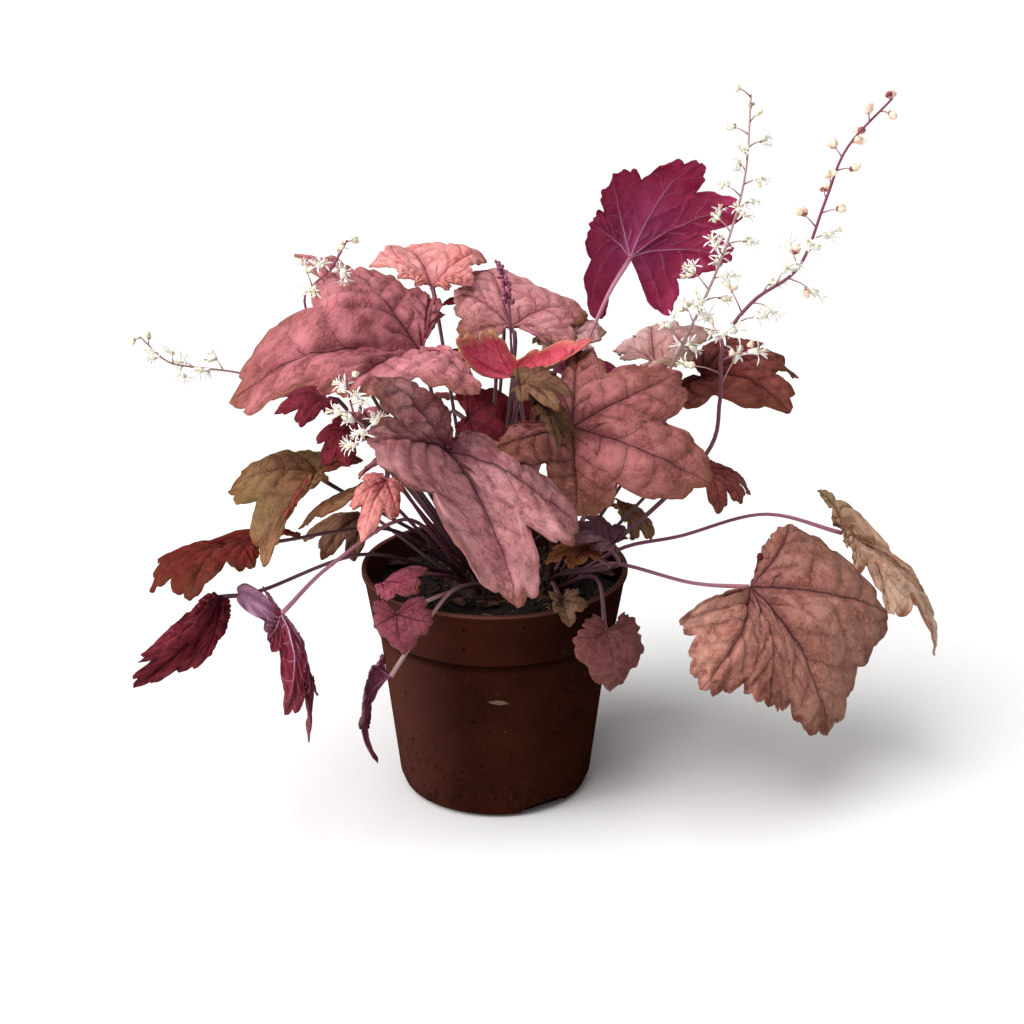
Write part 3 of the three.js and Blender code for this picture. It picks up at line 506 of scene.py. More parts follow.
def vein_distances(angle, share):
    """Distances to the nearest main vein and side vein, as shares of the blade's length."""
    lobe = np.clip(np.round(angle / LOBE_STEP), -OUTER_LOBE, OUTER_LOBE)
    turn = np.radians(angle - lobe * LOBE_STEP)
    along, across = share * np.cos(turn), share * np.abs(np.sin(turn))
    rank = (along - SIDE_SLOPE * across) * SIDE_VEINS + SIDE_STAGGER * (turn > 0)
    side = (0.5 - np.abs(rank - np.floor(rank) - 0.5)) / SIDE_VEINS
    return across, side


def crinkle(leaf, angle, share):
    """Broad dents and small puckers, from smooth noise on the open leaf, as a share of its size."""
    around = np.radians(angle)
    x, y = share * np.cos(around), share * np.sin(around)
    total = np.zeros_like(share)
    for scale, depth in CRINKLES:
        places = np.stack([x, y, np.full_like(x, leaf["phase"])], -1).reshape(-1, 3) * scale
        total += depth * np.array([noise.noise(place) for place in places]).reshape(share.shape)
    return total


def quilt(leaf, angle, share):
    """Height over the smooth sheet: puffed between the veins, crinkled, ruffled at the margin."""
    main, side = vein_distances(angle, share)
    from_main = 1 - np.exp(-((main / MAIN_VEIN_HALF) ** 2))
    from_side = 1 - QUILT_SHARE_OF_SIDE * np.exp(-((side / SIDE_VEIN_HALF) ** 2))
    inside = np.minimum(1, HEART_SLOPE * share)
    puff = QUILT * from_main * from_side * inside * (1 - share**PUFF_END)
    around = np.radians(angle)
    swing = sum(part * np.sin(turns * around + leaf["phase"] * turns) for turns, part in RUFFLES)
    ruffle = RUFFLE * CALM_LEAVES.get(leaf["name"], 1) * share**RUFFLE_GROWTH * swing
    return leaf["size"] * (puff + crinkle(leaf, angle, share) * inside + ruffle)


print("a blade puffs up by", QUILT, "of its length between the veins")

# %% A blade from a grid
UPPER, UNDER, STALK = range(3)
BLADE_THICKNESS = 0.0006
MERGE = 1e-7
NO_LENGTH = 1e-12
LOBE_LIGHT_WIDTH = 42
# angle of a lobe, and its painted highlight (above 0) or painted shade with browning (below 0)
LOBE_LIGHT = {
    "leaf_right_large": [(-80, -1), (-20, -0.2), (100, 0.4)],
    "leaf_left_large": [(112, 2.4), (-40, 0.8), (0, -0.3)],
    "leaf_front": [(10, 0.4), (70, -0.5), (-100, -0.4)],
    "leaf_magenta": [(165, 1.4), (-165, 1.4), (0, -0.6)],
    "leaf_centre_back": [(110, -0.9), (30, 0.5)],
    "leaf_behind_cup": [(0, 0.7), (60, 0.5)],
    "leaf_far_right": [(-150, 0.5), (0, -0.5), (70, -0.4)],
    "leaf_right_back": [(-70, -0.9), (-10, -0.3), (80, 0.9)],
    "leaf_olive_left": [(20, -0.5), (110, 0.6)],
    "leaf_dry_right": [(-20, 0.6), (110, -0.7)],
}
# for blades at least this long: how many steps round the stalk's end, and how many rings
GRIDS = [(0.05, (230, 40)), (0.036, (160, 26)), (0, (100, 16))]


def blade_points(leaf, angle, share):
    """The finished upper face: the sheet, moved along its own normal by the quilting."""
    points = sheet_points(leaf, angle, share)
    normal = np.cross(np.gradient(points, axis=0), np.gradient(points, axis=1))
    size = np.linalg.norm(normal, axis=-1, keepdims=True)
    normal = np.where(size > NO_LENGTH, normal / np.maximum(size, NO_LENGTH), leaf["normal"])
    normal[:, 0] = leaf["normal"]
    facing = np.sign((normal[:, 1:] @ leaf["normal"]).mean())
    return points + normal * facing * quilt(leaf, angle, share)[..., None]


def freshness(leaf, angle, share):
    """Painted light of each point: above 0 a painted highlight, below 0 painted shade that also browns it."""
    lobes = LOBE_LIGHT.get(leaf["name"], [(0, 0)])
    return share * sum(amount * np.exp(-(((angle - middle) / LOBE_LIGHT_WIDTH) ** 2)) for middle, amount in lobes)


def flat_grid(bm, columns, rows):
    """A flat square of faces whose uv is the place in it: u along the columns, v along the rows."""
    uv = bm.loops.layers.uv.verify()
    grid = bmesh.ops.create_grid(bm, x_segments=columns, y_segments=rows, size=0.5)["verts"]
    faces = {face for vert in grid for face in vert.link_faces}
    for face in faces:
        face.smooth = True
        for loop in face.loops:
            loop[uv].uv = (loop.vert.co.x + 0.5, loop.vert.co.y + 0.5)
    return grid, faces


def add_blade(bm, leaf):
    """A flat grid, wrapped round the stalk's end: u is the angle and v the share outwards."""
    turns, rings = next(grid for size, grid in GRIDS if leaf["size"] >= size)
    grid, faces = flat_grid(bm, turns, rings)
    flat, fresh = bm.verts.layers.float_vector["flat"], bm.verts.layers.float["fresh"]
    u = np.round((np.array([vert.co.x for vert in grid]) + 0.5) * turns).astype(int)
    v = np.round((np.array([vert.co.y for vert in grid]) + 0.5) * rings).astype(int)
    angles = np.linspace(-LEAF_END, LEAF_END, turns + 1)[:, None] * np.ones(rings + 1)
    shares = np.ones(turns + 1)[:, None] * np.linspace(0, 1, rings + 1)
    points = blade_points(leaf, angles, shares)
    spread = shares * smooth_curve(leaf["lengths"], (angles + LEAF_END) / (2 * LEAF_END))[..., 0]
    # painted light of each lobe: a highlight above 0, shade with browning below 0
    freshest = freshness(leaf, angles, shares)
    for vert, i, j in zip(grid, u, v):
        vert.co = points[i, j]
        angle = math.radians(angles[i, j])
        vert[flat] = (spread[i, j] * math.cos(angle), spread[i, j] * math.sin(angle), leaf["age"])
        vert[fresh] = float(freshest[i, j])
    bmesh.ops.remove_doubles(bm, verts=grid, dist=MERGE)
    faces = [face for face in faces if face.is_valid]
    bm.normal_update()
    if sum((face.normal * face.calc_area() for face in faces), Vector()).dot(Vector(leaf["normal"])) < 0:
        bmesh.ops.reverse_faces(bm, faces=faces)
    bm.normal_update()
    normals = {tuple(vert.co): vert.normal.copy() for vert in bm.verts}
    grown = bmesh.ops.extrude_face_region(bm, geom=faces, use_keep_orig=True)["geom"]
    for vert in (part for part in grown if isinstance(part, bmesh.types.BMVert)):
        vert.co -= normals[tuple(vert.co)] * BLADE_THICKNESS
    for face in (part for part in grown if isinstance(part, bmesh.types.BMFace)):
        face.material_index = UNDER
    bmesh.ops.recalc_face_normals(bm, faces=bm.faces)
    for face in bm.faces:
        face.smooth = True


print("finest blade", GRIDS[0][1], "angle steps and rings")

# %% [markdown]
# ## Stalks
#
# Each leaf stands on its own thin stalk, which leaves the rootstock steeply and bends over into
# the blade. A flat grid rolled into a tube is enough: it follows a smooth path, is a little
# thicker at the foot, and swells again where it meets the blade.

# %% Stalk paths
CROWNS = {"main": ((-0.004, 0.005), 0.020), "side": ((0.025, -0.001), 0.014)}
CROWN_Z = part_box("soil")[1].z - 0.0061
SEAT_SINK = 0.002
SEAT_RISE = 0.009
SEAT_SLOPE_SHARE = 0.8
SEAT_LIFT = 12
SEAT_SLOPES = (18, 86)
NECK = 0.013
PATH_SAMPLES = 400


def stalk_start(row, target):
    """The first two points: just inside the crown's skin, and straight out from there."""
    (x, y), radius = CROWNS[row.get("crown", "main")]
    centre = np.array([x, y, CROWN_Z])
    away = np.asarray(target) - centre
    turn, lift = row.get("leave", (0, 0))
    azimuth = math.atan2(away[1], away[0]) + math.radians(turn)
    to_target = math.degrees(math.atan2(away[2], math.hypot(away[0], away[1])))
    slope = math.radians(np.clip(to_target * SEAT_SLOPE_SHARE + SEAT_LIFT + lift, *SEAT_SLOPES))
    flat = math.cos(slope)
    out = np.array([flat * math.cos(azimuth), flat * math.sin(azimuth), math.sin(slope)])
    return [centre + out * (radius - SEAT_SINK), centre + out * (radius + SEAT_RISE)]


def stalk_points(leaf):
    end = leaf["at"] - leaf["normal"] * BLADE_THICKNESS
    if "via" in leaf:
        return [*stalk_start(leaf, leaf["via"][0]), *leaf["via"], end]
    into_blade = unit(unit(leaf["mid"]) + leaf["normal"])
    return [*stalk_start(leaf, leaf["at"]), end - into_blade * NECK, end]


def along_path(points, shares):
    """Points at even shares of a smooth path's length, and the directions there."""
    places = np.linspace(0, 1, PATH_SAMPLES)
    dense = smooth_curve(points, places)
    walked = np.concatenate([[0], np.cumsum(np.linalg.norm(np.diff(dense, axis=0), axis=1))])
    at = np.interp(np.asarray(shares) * walked[-1], walked, places)
    step = 1 / PATH_SAMPLES
    ahead = smooth_curve(points, np.minimum(1, at + step)) - smooth_curve(points, np.maximum(0, at - step))
    return smooth_curve(points, at), unit(ahead)


print("stalks start", round(CROWN_Z, 3), "m up, from", len(CROWNS), "crowns")

# %% Tubes
# ASKEW: a direction that no stalk follows. It only sets where the seam starts.
ASKEW = (0.3, 0.5, 0.81)


def add_tube(bm, points, radii, sides, steps, material):
    """A grid rolled round a smooth path, with its seam merged and its ends closed."""
    shares = np.linspace(0, 1, steps + 1)
    centres, ways = along_path(points, shares)
    radius = np.interp(shares, np.linspace(0, 1, len(radii)), radii)
    side_way = unit(np.cross(ways[0], ASKEW))
    frames = []
    for way in ways:
        side_way = unit(side_way - way * side_way.dot(way))
        frames.append((side_way, np.cross(way, side_way)))
    grid, faces = flat_grid(bm, sides, steps)
    for face in faces:
        face.material_index = material
    for vert in grid:
        turn = 2 * math.pi * (vert.co.x + 0.5)
        step = round((vert.co.y + 0.5) * steps)
        across, up = frames[step]
        vert.co = centres[step] + radius[step] * (across * math.cos(turn) + up * math.sin(turn))
    bmesh.ops.remove_doubles(bm, verts=grid, dist=MERGE)
    rim = [edge for edge in {e for v in grid if v.is_valid for e in v.link_edges} if edge.is_boundary]
    caps = bmesh.ops.holes_fill(bm, edges=rim, sides=sides)["faces"]
    for face in caps:
        face.material_index = material
    bmesh.ops.recalc_face_normals(bm, faces=[f for f in faces if f.is_valid] + caps)


STALK_SIDES = 10
STALK_STEPS = 30
STALK_RADII = metres([1.40, 1.02, 0.92, 0.88, 0.92, 1.2])
print("stalks from", 2 * STALK_RADII[0], "m thick at the foot")

# %% [markdown]
# ## Leaf colours
#
# Coral-coloured heucheras shift through rose, crimson, amber and olive as a leaf ages, with paler
# flesh between the veins and a purple underside. Each kind of leaf gets one palette. The finish
# draws the same veins as the quilting, from the blade's own angle and share. Over them lie clouds,
# blotches, freckles and fine wrinkles darkened with painted shade, painted shade in the hollows by
# the veins, a browner rim, a painted highlight on lobes that face the light and painted shade with
# browning on lobes in shadow. Each mark is worked out once, by name, and a table says how strongly
# each one colours.

# %% Palettes
# blade and glow: the two colours that drift over the upper face. age: the brown or olive that
# clouds it. vein: the lines. edge: the margin. under and back: the two colours of the underside.
# ribs: the raised veins there. heart: the colour near the stalk, on both sides.
# glow, and ribs underneath, also paint the highlight on lit lobes; age paints the shade on lobes in shadow
# and in the wrinkles, and vein the painted shade in the hollows by the veins
PALETTES = {
    "rose": dict(blade="86363c", glow="bc7278", age="743c38", vein="3a1828", edge="80503c",
                 under="8c2a3c", back="b05460", ribs="c87c84", heart="8a4450"),
    "rosewood": dict(blade="7e3838", glow="b26e6c", age="5e3828", vein="381a26", edge="7c4c38",
                     under="84283a", back="a44c58", ribs="c07c80", heart="80444c"),
    "dusk": dict(blade="863e44", glow="c4888a", age="5e403a", vein="361a30", edge="70402e",
                 under="84283c", back="9c4456", ribs="b07080", heart="764c60"),
    "blush": dict(blade="a8585e", glow="d89698", age="8c5448", vein="703840", edge="7c5c34",
                  under="9c4858", back="b87480", ribs="c8909a", heart="a8606c"),
    "peach": dict(blade="d67e7a", glow="f2b4b2", age="b87264", vein="904858", edge="90503c",
                  under="9c5868", back="b87c88", ribs="d0a0a8", heart="c46a74"),
    "crimson": dict(blade="8c1a36", glow="ac4066", age="64101c", vein="b87890", edge="5c0e1a",
                    under="84183a", back="a8385e", ribs="cc8cac", heart="a04880"),
    "ruby": dict(blade="64141e", glow="88303c", age="44121a", vein="8c4858", edge="4c1016",
                 under="54101c", back="74202e", ribs="a05460", heart="7c2c44"),
    "olive": dict(blade="70503a", glow="a07054", age="56502a", vein="583020", edge="6c3420",
                  under="8c2c34", back="a44844", ribs="b08068", heart="84543c"),
    "bronze": dict(blade="5c3a2c", glow="8c6450", age="484022", vein="382014", edge="5c3020",
                   under="5c1c20", back="7c342c", ribs="906450", heart="643830"),
    "tan": dict(blade="a87060", glow="dcb49c", age="74663c", vein="64402c", edge="8c4838",
                under="a07c58", back="84503c", ribs="b89878", heart="8c5c48"),
    "dead": dict(blade="4c3226", glow="80604a", age="3a2a20", vein="2c1c14", edge="604834",
                 under="4c3426", back="64483a", ribs="7c6048", heart="48302a"),
    "plum": dict(blade="583038", glow="886068", age="44302a", vein="7c4c64", edge="3c1820",
                 under="541a2c", back="702c44", ribs="985c74", heart="643450"),
    "coral": dict(blade="c46464", glow="e49a96", age="ac604c", vein="702838", edge="8c4034",
                  under="9c4858", back="b87480", ribs="c8909a", heart="b85c68"),
    "wine": dict(blade="643234", glow="8a5050", age="50322a", vein="a07064", edge="6a4036",
                 under="541c24", back="743038", ribs="945c60", heart="643038"),
    "blossom": dict(blade="94384c", glow="cc7484", age="703a3c", vein="642038", edge="9c6454",
                    under="842c54", back="b0608c", ribs="c890ac", heart="9c4058"),
    "mottled": dict(blade="c08078", glow="eab8b8", age="6c6038", vein="703840", edge="7c6438",
                    under="9c5060", back="b87c84", ribs="c8989c", heart="c07c7c"),
    "magenta": dict(blade="78323e", glow="b46c8c", age="5c3430", vein="4c1430", edge="60302a",
                    under="6c2030", back="9c4454", ribs="d09cc0", heart="7c3440"),
    "terracotta": dict(blade="945248", glow="cc9484", age="6e5040", vein="3a1a28", edge="5c2a24",
                       under="742830", back="904444", ribs="a86c68", heart="804c54"),
    "amber": dict(blade="6c3c28", glow="945a3c", age="4c361c", vein="34180f", edge="442616",
                  under="54181a", back="6c2c24", ribs="885848", heart="582a28"),
    "mulberry": dict(blade="602630", glow="924c58", age="502a2e", vein="3c1424", edge="6c3c3c",
                     under="541c24", back="743038", ribs="945c60", heart="5c2434"),
    "rust": dict(blade="50100c", glow="742622", age="422818", vein="300c12", edge="5c3620",
                 under="48141a", back="642024", ribs="844444", heart="4c1a1c"),
    "dark": dict(blade="5c1218", glow="80262c", age="3c1414", vein="280c18", edge="360e12",
                 under="460c18", back="601c2a", ribs="7c3848", heart="541830"),
    "cup": dict(blade="bc2e50", glow="dc687c", age="b04c44", vein="8c1838", edge="cc9c70",
                under="6c5638", back="8c7444", ribs="a08860", heart="ac2050"),
    "russet": dict(blade="6e2c2a", glow="a05850", age="50362a", vein="340e16", edge="6c4024",
                   under="50141c", back="702224", ribs="8c4a4a", heart="541c28"),
}
PALETTE_OF = {
    "leaf_coral": "coral", "leaf_magenta": "magenta", "leaf_pot_left_in": "blossom", "leaf_cup": "cup",
    "leaf_pot_left_out": "mulberry", "leaf_far_right": "terracotta", "leaf_amber_mid": "amber",
    "leaf_top_back": "peach", "leaf_red_mid": "ruby", "leaf_dark_mid": "dark", "leaf_far_left": "rust",
    "leaf_far_left_low": "ruby", "leaf_pot_right_out": "wine", "leaf_right_red": "russet",
    "leaf_tip_mid": "dark", "leaf_left_red_a": "ruby", "leaf_left_red_b": "ruby", "leaf_heart": "dark",
    "leaf_centre_back": "blush", "leaf_behind_cup": "mottled", "leaf_right_back": "mottled",
    "leaf_right_small": "russet", "leaf_dry_rim": "dead", "leaf_olive_mid": "bronze",
    "leaf_dry_mid": "bronze", "leaf_olive_low": "bronze", "leaf_narrow": "olive",
    "leaf_top_left": "blush", "leaf_right_large": "rosewood",
}
print("palettes", len(PALETTES))

# %% Marks on a leaf
# noise scales, from the broadest mark to the finest
DRIFT = 24
CLOUDS = 30
SWAY = 38
WOBBLE = 70
BLOTCHES = 85
WRINKLES = 150
PUCKER = 210
FRECKLES = 520
GRIT = 1300
# how far from its vein a mark ends and where it is full, as shares of the blade's length
MAIN_LINE = (0.012, 0.002)
SIDE_LINE = (0.009, 0.0008)
CREASE_SHADE = (0.05, 0)
HALO = (0.10, 0)
VEIN_SWAY = 0.12
VEIN_WOBBLE = 0.09


def leaf_marks(finish):
    """Each mark by its name. uv: x is the angle, y the share; flat: x and y on the open leaf."""
    round_stalk, share, _ = finish.axes(finish.own_uv())
    angle = (round_stalk - 0.5) * (2 * LEAF_END)
    flat = finish.node("ShaderNodeAttribute", {"attribute_name": "flat"}).outputs["Vector"]
    fresh = finish.value(finish.node("ShaderNodeAttribute", {"attribute_name": "fresh"}), "Fac")
    age = finish.axes(flat)[2]
    sway = finish.noise(flat, SWAY, detail=2)
    lobe = (angle / LOBE_STEP).nearest_whole().at_least(-OUTER_LOBE).at_most(OUTER_LOBE)
    turn = (angle - lobe * LOBE_STEP) * math.radians(1) + (sway - 0.5) * VEIN_SWAY
    across = share * abs(turn.sine())
    wobble = (finish.noise(flat, WOBBLE) - 0.5) * VEIN_WOBBLE
    rank = (share * turn.cosine() - across * SIDE_SLOPE + wobble) * SIDE_VEINS
    rank = rank + turn.ramp(-0.001, 0.001) * SIDE_STAGGER
    side = (0.5 - abs(rank.fraction() - 0.5)) / SIDE_VEINS
    main = across / (1.1 - share).at_least(0.1)
    main_lines = main.ramp(*MAIN_LINE)
    side_lines = side.ramp(*SIDE_LINE) * (1.15 - share).at_most(1) * sway.ramp(0.34, 0.52)
    halo = main.ramp(*HALO)
    clouds = finish.noise(flat, CLOUDS, detail=6, roughness=0.66, distortion=0.3).ramp(0.4, 0.62)
    blotches = finish.noise(flat, BLOTCHES, detail=7, roughness=0.74, distortion=0.3).ramp(0.36, 0.66)
    freckles = finish.noise(flat, FRECKLES, detail=4, roughness=0.8)
    folds = finish.noise(flat, WRINKLES, detail=3, roughness=0.5, distortion=0.4)
    rim = (share + (blotches - 0.5) * 0.16 + (freckles - 0.5) * 0.2).ramp(0.82, 1.02)
    return {
        "drift": (finish.noise(finish.place(), DRIFT, detail=4) + age).ramp(0.38, 0.66),
        "heart": (share + (sway - 0.5) * 0.5).ramp(0.75, 0),
        "clouds": clouds,
        "blotches": blotches,
        "flesh": (1 - blotches) * (1 - halo * 0.6),
        "margin": (share + (clouds - 0.5) * 0.3 + (sway - 0.5) * 0.6).ramp(0.55, 1.05),
        # painted highlight on lobes that face the light, painted shade with browning on lobes in shadow
        "fresh": fresh.ramp(0.05, 0.8),
        "old": (fresh + (sway - 0.5) * 0.4).ramp(-0.1, -0.6),
        # wrinkles: dents in the relief, with painted shade darkening them in the colour
        "wrinkles": abs(folds - 0.5).ramp(0.05, 0) * blotches,
        # painted shade in the hollows beside the main veins and along the side veins
        "hollows": halo * 0.22 + side.ramp(*CREASE_SHADE) * 0.16,
        "freckles": freckles,
        "pale freckles": freckles.ramp(0.5, 0.7),
        "dark freckles": freckles.ramp(0.46, 0.3),
        "rim": rim * sway.ramp(0.3, 0.6),
        "side lines": side_lines,
        "main lines": main_lines,
        "ribs": main_lines * 0.8 + side_lines * 0.5,
        "pucker": finish.cells(flat, PUCKER, feature="SMOOTH_F1"),
        "grit": finish.noise(flat, GRIT, detail=3),
    }


print("main veins are", 2 * MAIN_LINE[0], "of a blade's length wide")

# %% The two faces of a leaf
# ground: the palette's colours that drift over the face. coats: mark, strength and colour, from
# the lowest coat up. light: how strongly grit lights the face. rough and relief: how much each
# mark roughens or raises it.
FACES = {
    "upper": dict(
        ground=("blade", "glow"), light=0.5, rough={"clouds": 0.14, "grit": 0.16},
        coats=[("heart", 0.6, "heart"), ("clouds", 0.6, "age"), ("blotches", 0.6, "blade"),
               # painted light among these coats: a highlight on lit lobes, shade with browning on lobes in
               # shadow, shade darkening the wrinkles, and shade in the hollows by the veins
               ("flesh", 0.52, "glow"), ("margin", 0.22, "age"), ("fresh", 0.6, "glow", "SCREEN"),
               ("old", 0.7, "age"), ("wrinkles", 0.35, "age"), ("hollows", 1, "vein"),
               ("pale freckles", 0.5, "glow"), ("dark freckles", 0.4, "age"), ("rim", 0.8, "edge"),
               ("side lines", 0.6, "vein"), ("main lines", 0.75, "vein")],
        relief={"pucker": -0.45, "blotches": -0.3, "wrinkles": -0.4, "main lines": -0.5,
                "side lines": -0.35, "freckles": 0.5, "grit": 0.1}),
    "under": dict(
        ground=("under", "back"), light=0.4, rough={"grit": 0.2},
        # painted highlight on lit lobes, in the colour of the ribs
        coats=[("heart", 0.6, "heart"), ("clouds", 0.35, "age"), ("fresh", 0.8, "ribs"),
               ("blotches", 0.3, "under"), ("rim", 0.5, "edge"), ("ribs", 1, "ribs")],
        relief={"ribs": 1, "pucker": 0.4, "wrinkles": 0.3, "freckles": 0.2}),
}
SMOOTHEST_LEAF = 0.5
LEAF_SHINE = 0.08
LEAF_RELIEF = (0.0013, 0.85)
WARM_WHITE = "fff4ee"
PLAIN_GRIT = 0.35
print("coats:", {side: len(face["coats"]) for side, face in FACES.items()})


def weighed(marks, weights):
    return sum(marks[mark] * weight for mark, weight in weights.items())


def leaf_finish(name, palette, side):
    finish, face = Finish(f"{name} {side}"), FACES[side]
    marks = leaf_marks(finish)
    first, second = face["ground"]
    colour = finish.mix(marks["drift"], paint(palette[first]), paint(palette[second]))
    for mark, strength, part, *way in face["coats"]:
        colour = finish.mix(marks[mark] * strength, colour, paint(palette[part]), *way)
    lit = (marks["grit"] - PLAIN_GRIT) * face["light"]
    colour = finish.mix(lit, colour, paint(WARM_WHITE), "SOFT_LIGHT")
    return finish.show(
        Base_Color=colour, Roughness=SMOOTHEST_LEAF + weighed(marks, face["rough"]),
        Specular_IOR_Level=LEAF_SHINE,
        Normal=finish.bump(weighed(marks, face["relief"]), *LEAF_RELIEF))


# %% Skins of the stalks
STREAK_STRETCH = (9, 1.2, 1)
STREAKS = 2.2


def stalk_finish(name, dark, light):
    """A fine streaked skin, darker at the foot; the tube's own uv runs round and along."""
    finish = Finish(name)
    uv = finish.own_uv()
    along = finish.axes(uv)[1]
    stretched = finish.node("ShaderNodeMapping", None, {"Vector": uv, "Scale": STREAK_STRETCH}).outputs[0]
    streaks = finish.noise(stretched, STREAKS, detail=4)
    tint = (streaks * 0.9 + along * 0.45 - 0.2).ramp(0.2, 0.75)
    colour = finish.mix(tint, paint(dark), paint(light))
    return finish.show(Base_Color=colour, Roughness=0.42 + streaks * 0.1,
                       Normal=finish.bump(streaks, 0.0002, 0.5))


leaf_faces = {name: [leaf_finish(name, palette, side) for side in FACES]
              for name, palette in PALETTES.items()}
stalk_skins = {
    "brown": stalk_finish("stalk brown", "280e16", "5c343c"),
    "pale": stalk_finish("stalk pale", "583c42", "9c7874"),
    "pink": stalk_finish("stalk pink", "5c2438", "b87888"),
}
print("leaf finishes", 2 * len(leaf_faces), "stalk skins", len(stalk_skins))

# %% Every leaf with its stalk
STALK_OF = {
    "leaf_crimson": "pink", "leaf_magenta": "pink", "leaf_pot_left_in": "pink", "leaf_far_right": "pink",
    "leaf_dry_right": "pink", "leaf_pot_left_curl": "pale", "leaf_pot_left_out": "pale",
}
AGE_SWING = 0.18
LEAF_SEED = 7


random = np.random.default_rng(LEAF_SEED)
rows = LEAVES + [back_leaf(i + 1, *row) for i, row in enumerate(BACK_LEAVES)]
for number, row in enumerate(rows):
    leaf = dict(finished_row(row, number), age=float(random.uniform(-AGE_SWING, AGE_SWING)))
    bm = bmesh.new()
    bm.verts.layers.float_vector.new("flat")
    bm.verts.layers.float.new("fresh")
    add_blade(bm, leaf)
    add_tube(bm, stalk_points(leaf), STALK_RADII, STALK_SIDES, STALK_STEPS, STALK)
    skin = stalk_skins[STALK_OF.get(leaf["name"], "brown")]
    faces = leaf_faces[PALETTE_OF.get(leaf["name"], leaf["tone"])]
    piece = new_mesh(f"{leaf['name']}_grown", bm, [*faces, skin])
    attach(piece, "root")
    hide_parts(leaf["name"])
print("leaves made", len(rows), "the last has", len(piece.data.polygons), "faces")

# %% [markdown]
# ## Flower sprays
#
# A heuchera lifts its flowers on wiry stems. Short side branches carry a few tiny bells each: a
# swollen cup, five narrow petals that spread from its mouth, and stamens that reach past them.
# Flowers open from the bottom up, so the tip of a spray is still closed buds. One flower is only
# a few dozen faces, because a spray repeats it many times.

# %% Spray rows
# stem: points it passes after the crown, and branch: lengths of the lowest and the highest branch,
# both in millimetres. bloom: share of the stem where the flowers begin. open: share of the
# branches in flower. heads: flowers or buds a branch carries. bell: their size, low and high.
SPRAYS = [
    dict(name="spray_tall", crown="side", bloom=0.5, branches=23, branch=(13, 8), open=0.9,
         spin=64, leave=(0, 6), skin="mauve", heads=3, bell=(0.95, 0.62), stout=0.85,
         stem=[(56, 2, 162), (82, 0, 212), (100, 5, 250), (110, 9, 277), (116, 12, 304),
               (118, 20, 338)]),
    dict(name="spray_arching", crown="side", bloom=0.46, branches=25, branch=(18, 5), open=0.56,
         spin=60, leave=(14, 12), skin="wine", heads=2, bell=(1.15, 1.05), stout=1.0,
         stem=[(59, -11, 132), (99, -14, 175), (105, -15, 203), (105, -19, 231), (117, -24, 252),
               (137, -22, 267), (148, -18, 296), (157, -14, 319), (177, -8, 340)]),
    dict(name="spray_upper_left", bloom=0.8, branches=9, branch=(9, 4), open=0.8,
         spin=0, skin="wine", heads=2, bell=(0.95, 0.8), stout=0.85,
         stem=[(-48, 16, 163), (-74, 14, 208), (-88, 8, 241), (-84, 2, 253), (-74, -8, 264),
               (-66, -14, 278)]),
    dict(name="spray_far_left", bloom=0.78, branches=10, branch=(8, 4), open=0.8,
         spin=40, skin="mauve", heads=2, bell=(0.9, 0.75), stout=0.8,
         stem=[(-66, 40, 171), (-104, 32, 197), (-123, 22, 206), (-145, 12, 212), (-155, 8, 216),
               (-166, 4, 229)]),
    dict(name="spray_mid_left", bloom=0.74, branches=11, branch=(9, 5), open=0.85,
         spin=80, skin="wine", heads=2, bell=(0.95, 0.8), stout=0.85,
         stem=[(-42, -40, 168), (-55, -70, 206), (-60, -76, 215), (-62, -78, 224), (-63, -80, 232)]),
    dict(name="spray_bud", bloom=0.87, branches=26, branch=(1.8, 1), open=0,
         spin=0, skin="night", heads=2, bell=(0.56, 0.45), stout=0.9,
         stem=[(10, 2, 173), (8, 3, 226), (7, 4, 244), (3, 8, 262)]),
]
BRANCH_LIFT = 25
GOLDEN_TURN = 137.508
LAST_BRANCH = 0.995
STEM_RADII = metres([1.25, 1.1, 0.95, 0.7, 0.5])
STEM_SIDES = 8
STEM_STEPS = 70
BRANCH_RADII = [0.00042, 0.00030, 0.00026]
BRANCH_SIDES = 5
BRANCH_STEPS = 4
print("sprays", len(SPRAYS))

# %% A bud and a petal
FLOWER_RADIUS = 0.0047
PETAL_WIDTH = 0.12 * FLOWER_RADIUS
PETAL_THICKNESS = 0.0002
PETAL_RISE = 0.45
PETAL_FALL = 0.6
CALYX = -0.3
BUD_TIP = 1.6
BUD_FOOT = 1.2
BUD_TAPER = 0.25
STEM_SKIN, CUP_SKIN, PETAL_SKIN, STAMEN_SKIN, BUD_SKIN, CALYX_SKIN, BRANCH_SKIN = range(7)


def turned_to(way, at):
    return Matrix.Translation(Vector(at)) @ Vector(way).to_track_quat("Z", "Y").to_matrix().to_4x4()


def paint_faces(verts, material, smooth=True):
    for face in {face for vert in verts for face in vert.link_faces}:
        face.material_index = material
        face.smooth = smooth


def add_bud(bm, at, way, radius):
    """A closed bud: a small ball drawn out towards its tip, in a darker calyx."""
    ball = bmesh.ops.create_uvsphere(bm, u_segments=8, v_segments=6, radius=radius)["verts"]
    paint_faces(ball, BUD_SKIN)
    for face in {face for vert in ball for face in vert.link_faces}:
        if face.calc_center_median().z < CALYX * radius:
            face.material_index = CALYX_SKIN
    for vert in ball:
        height = vert.co.z / radius
        vert.co.z = vert.co.z * (BUD_TIP if height > 0 else BUD_FOOT)
        vert.co.xy *= 1 - BUD_TAPER * max(0, height)
    bmesh.ops.transform(bm, matrix=turned_to(way, at), verts=ball)


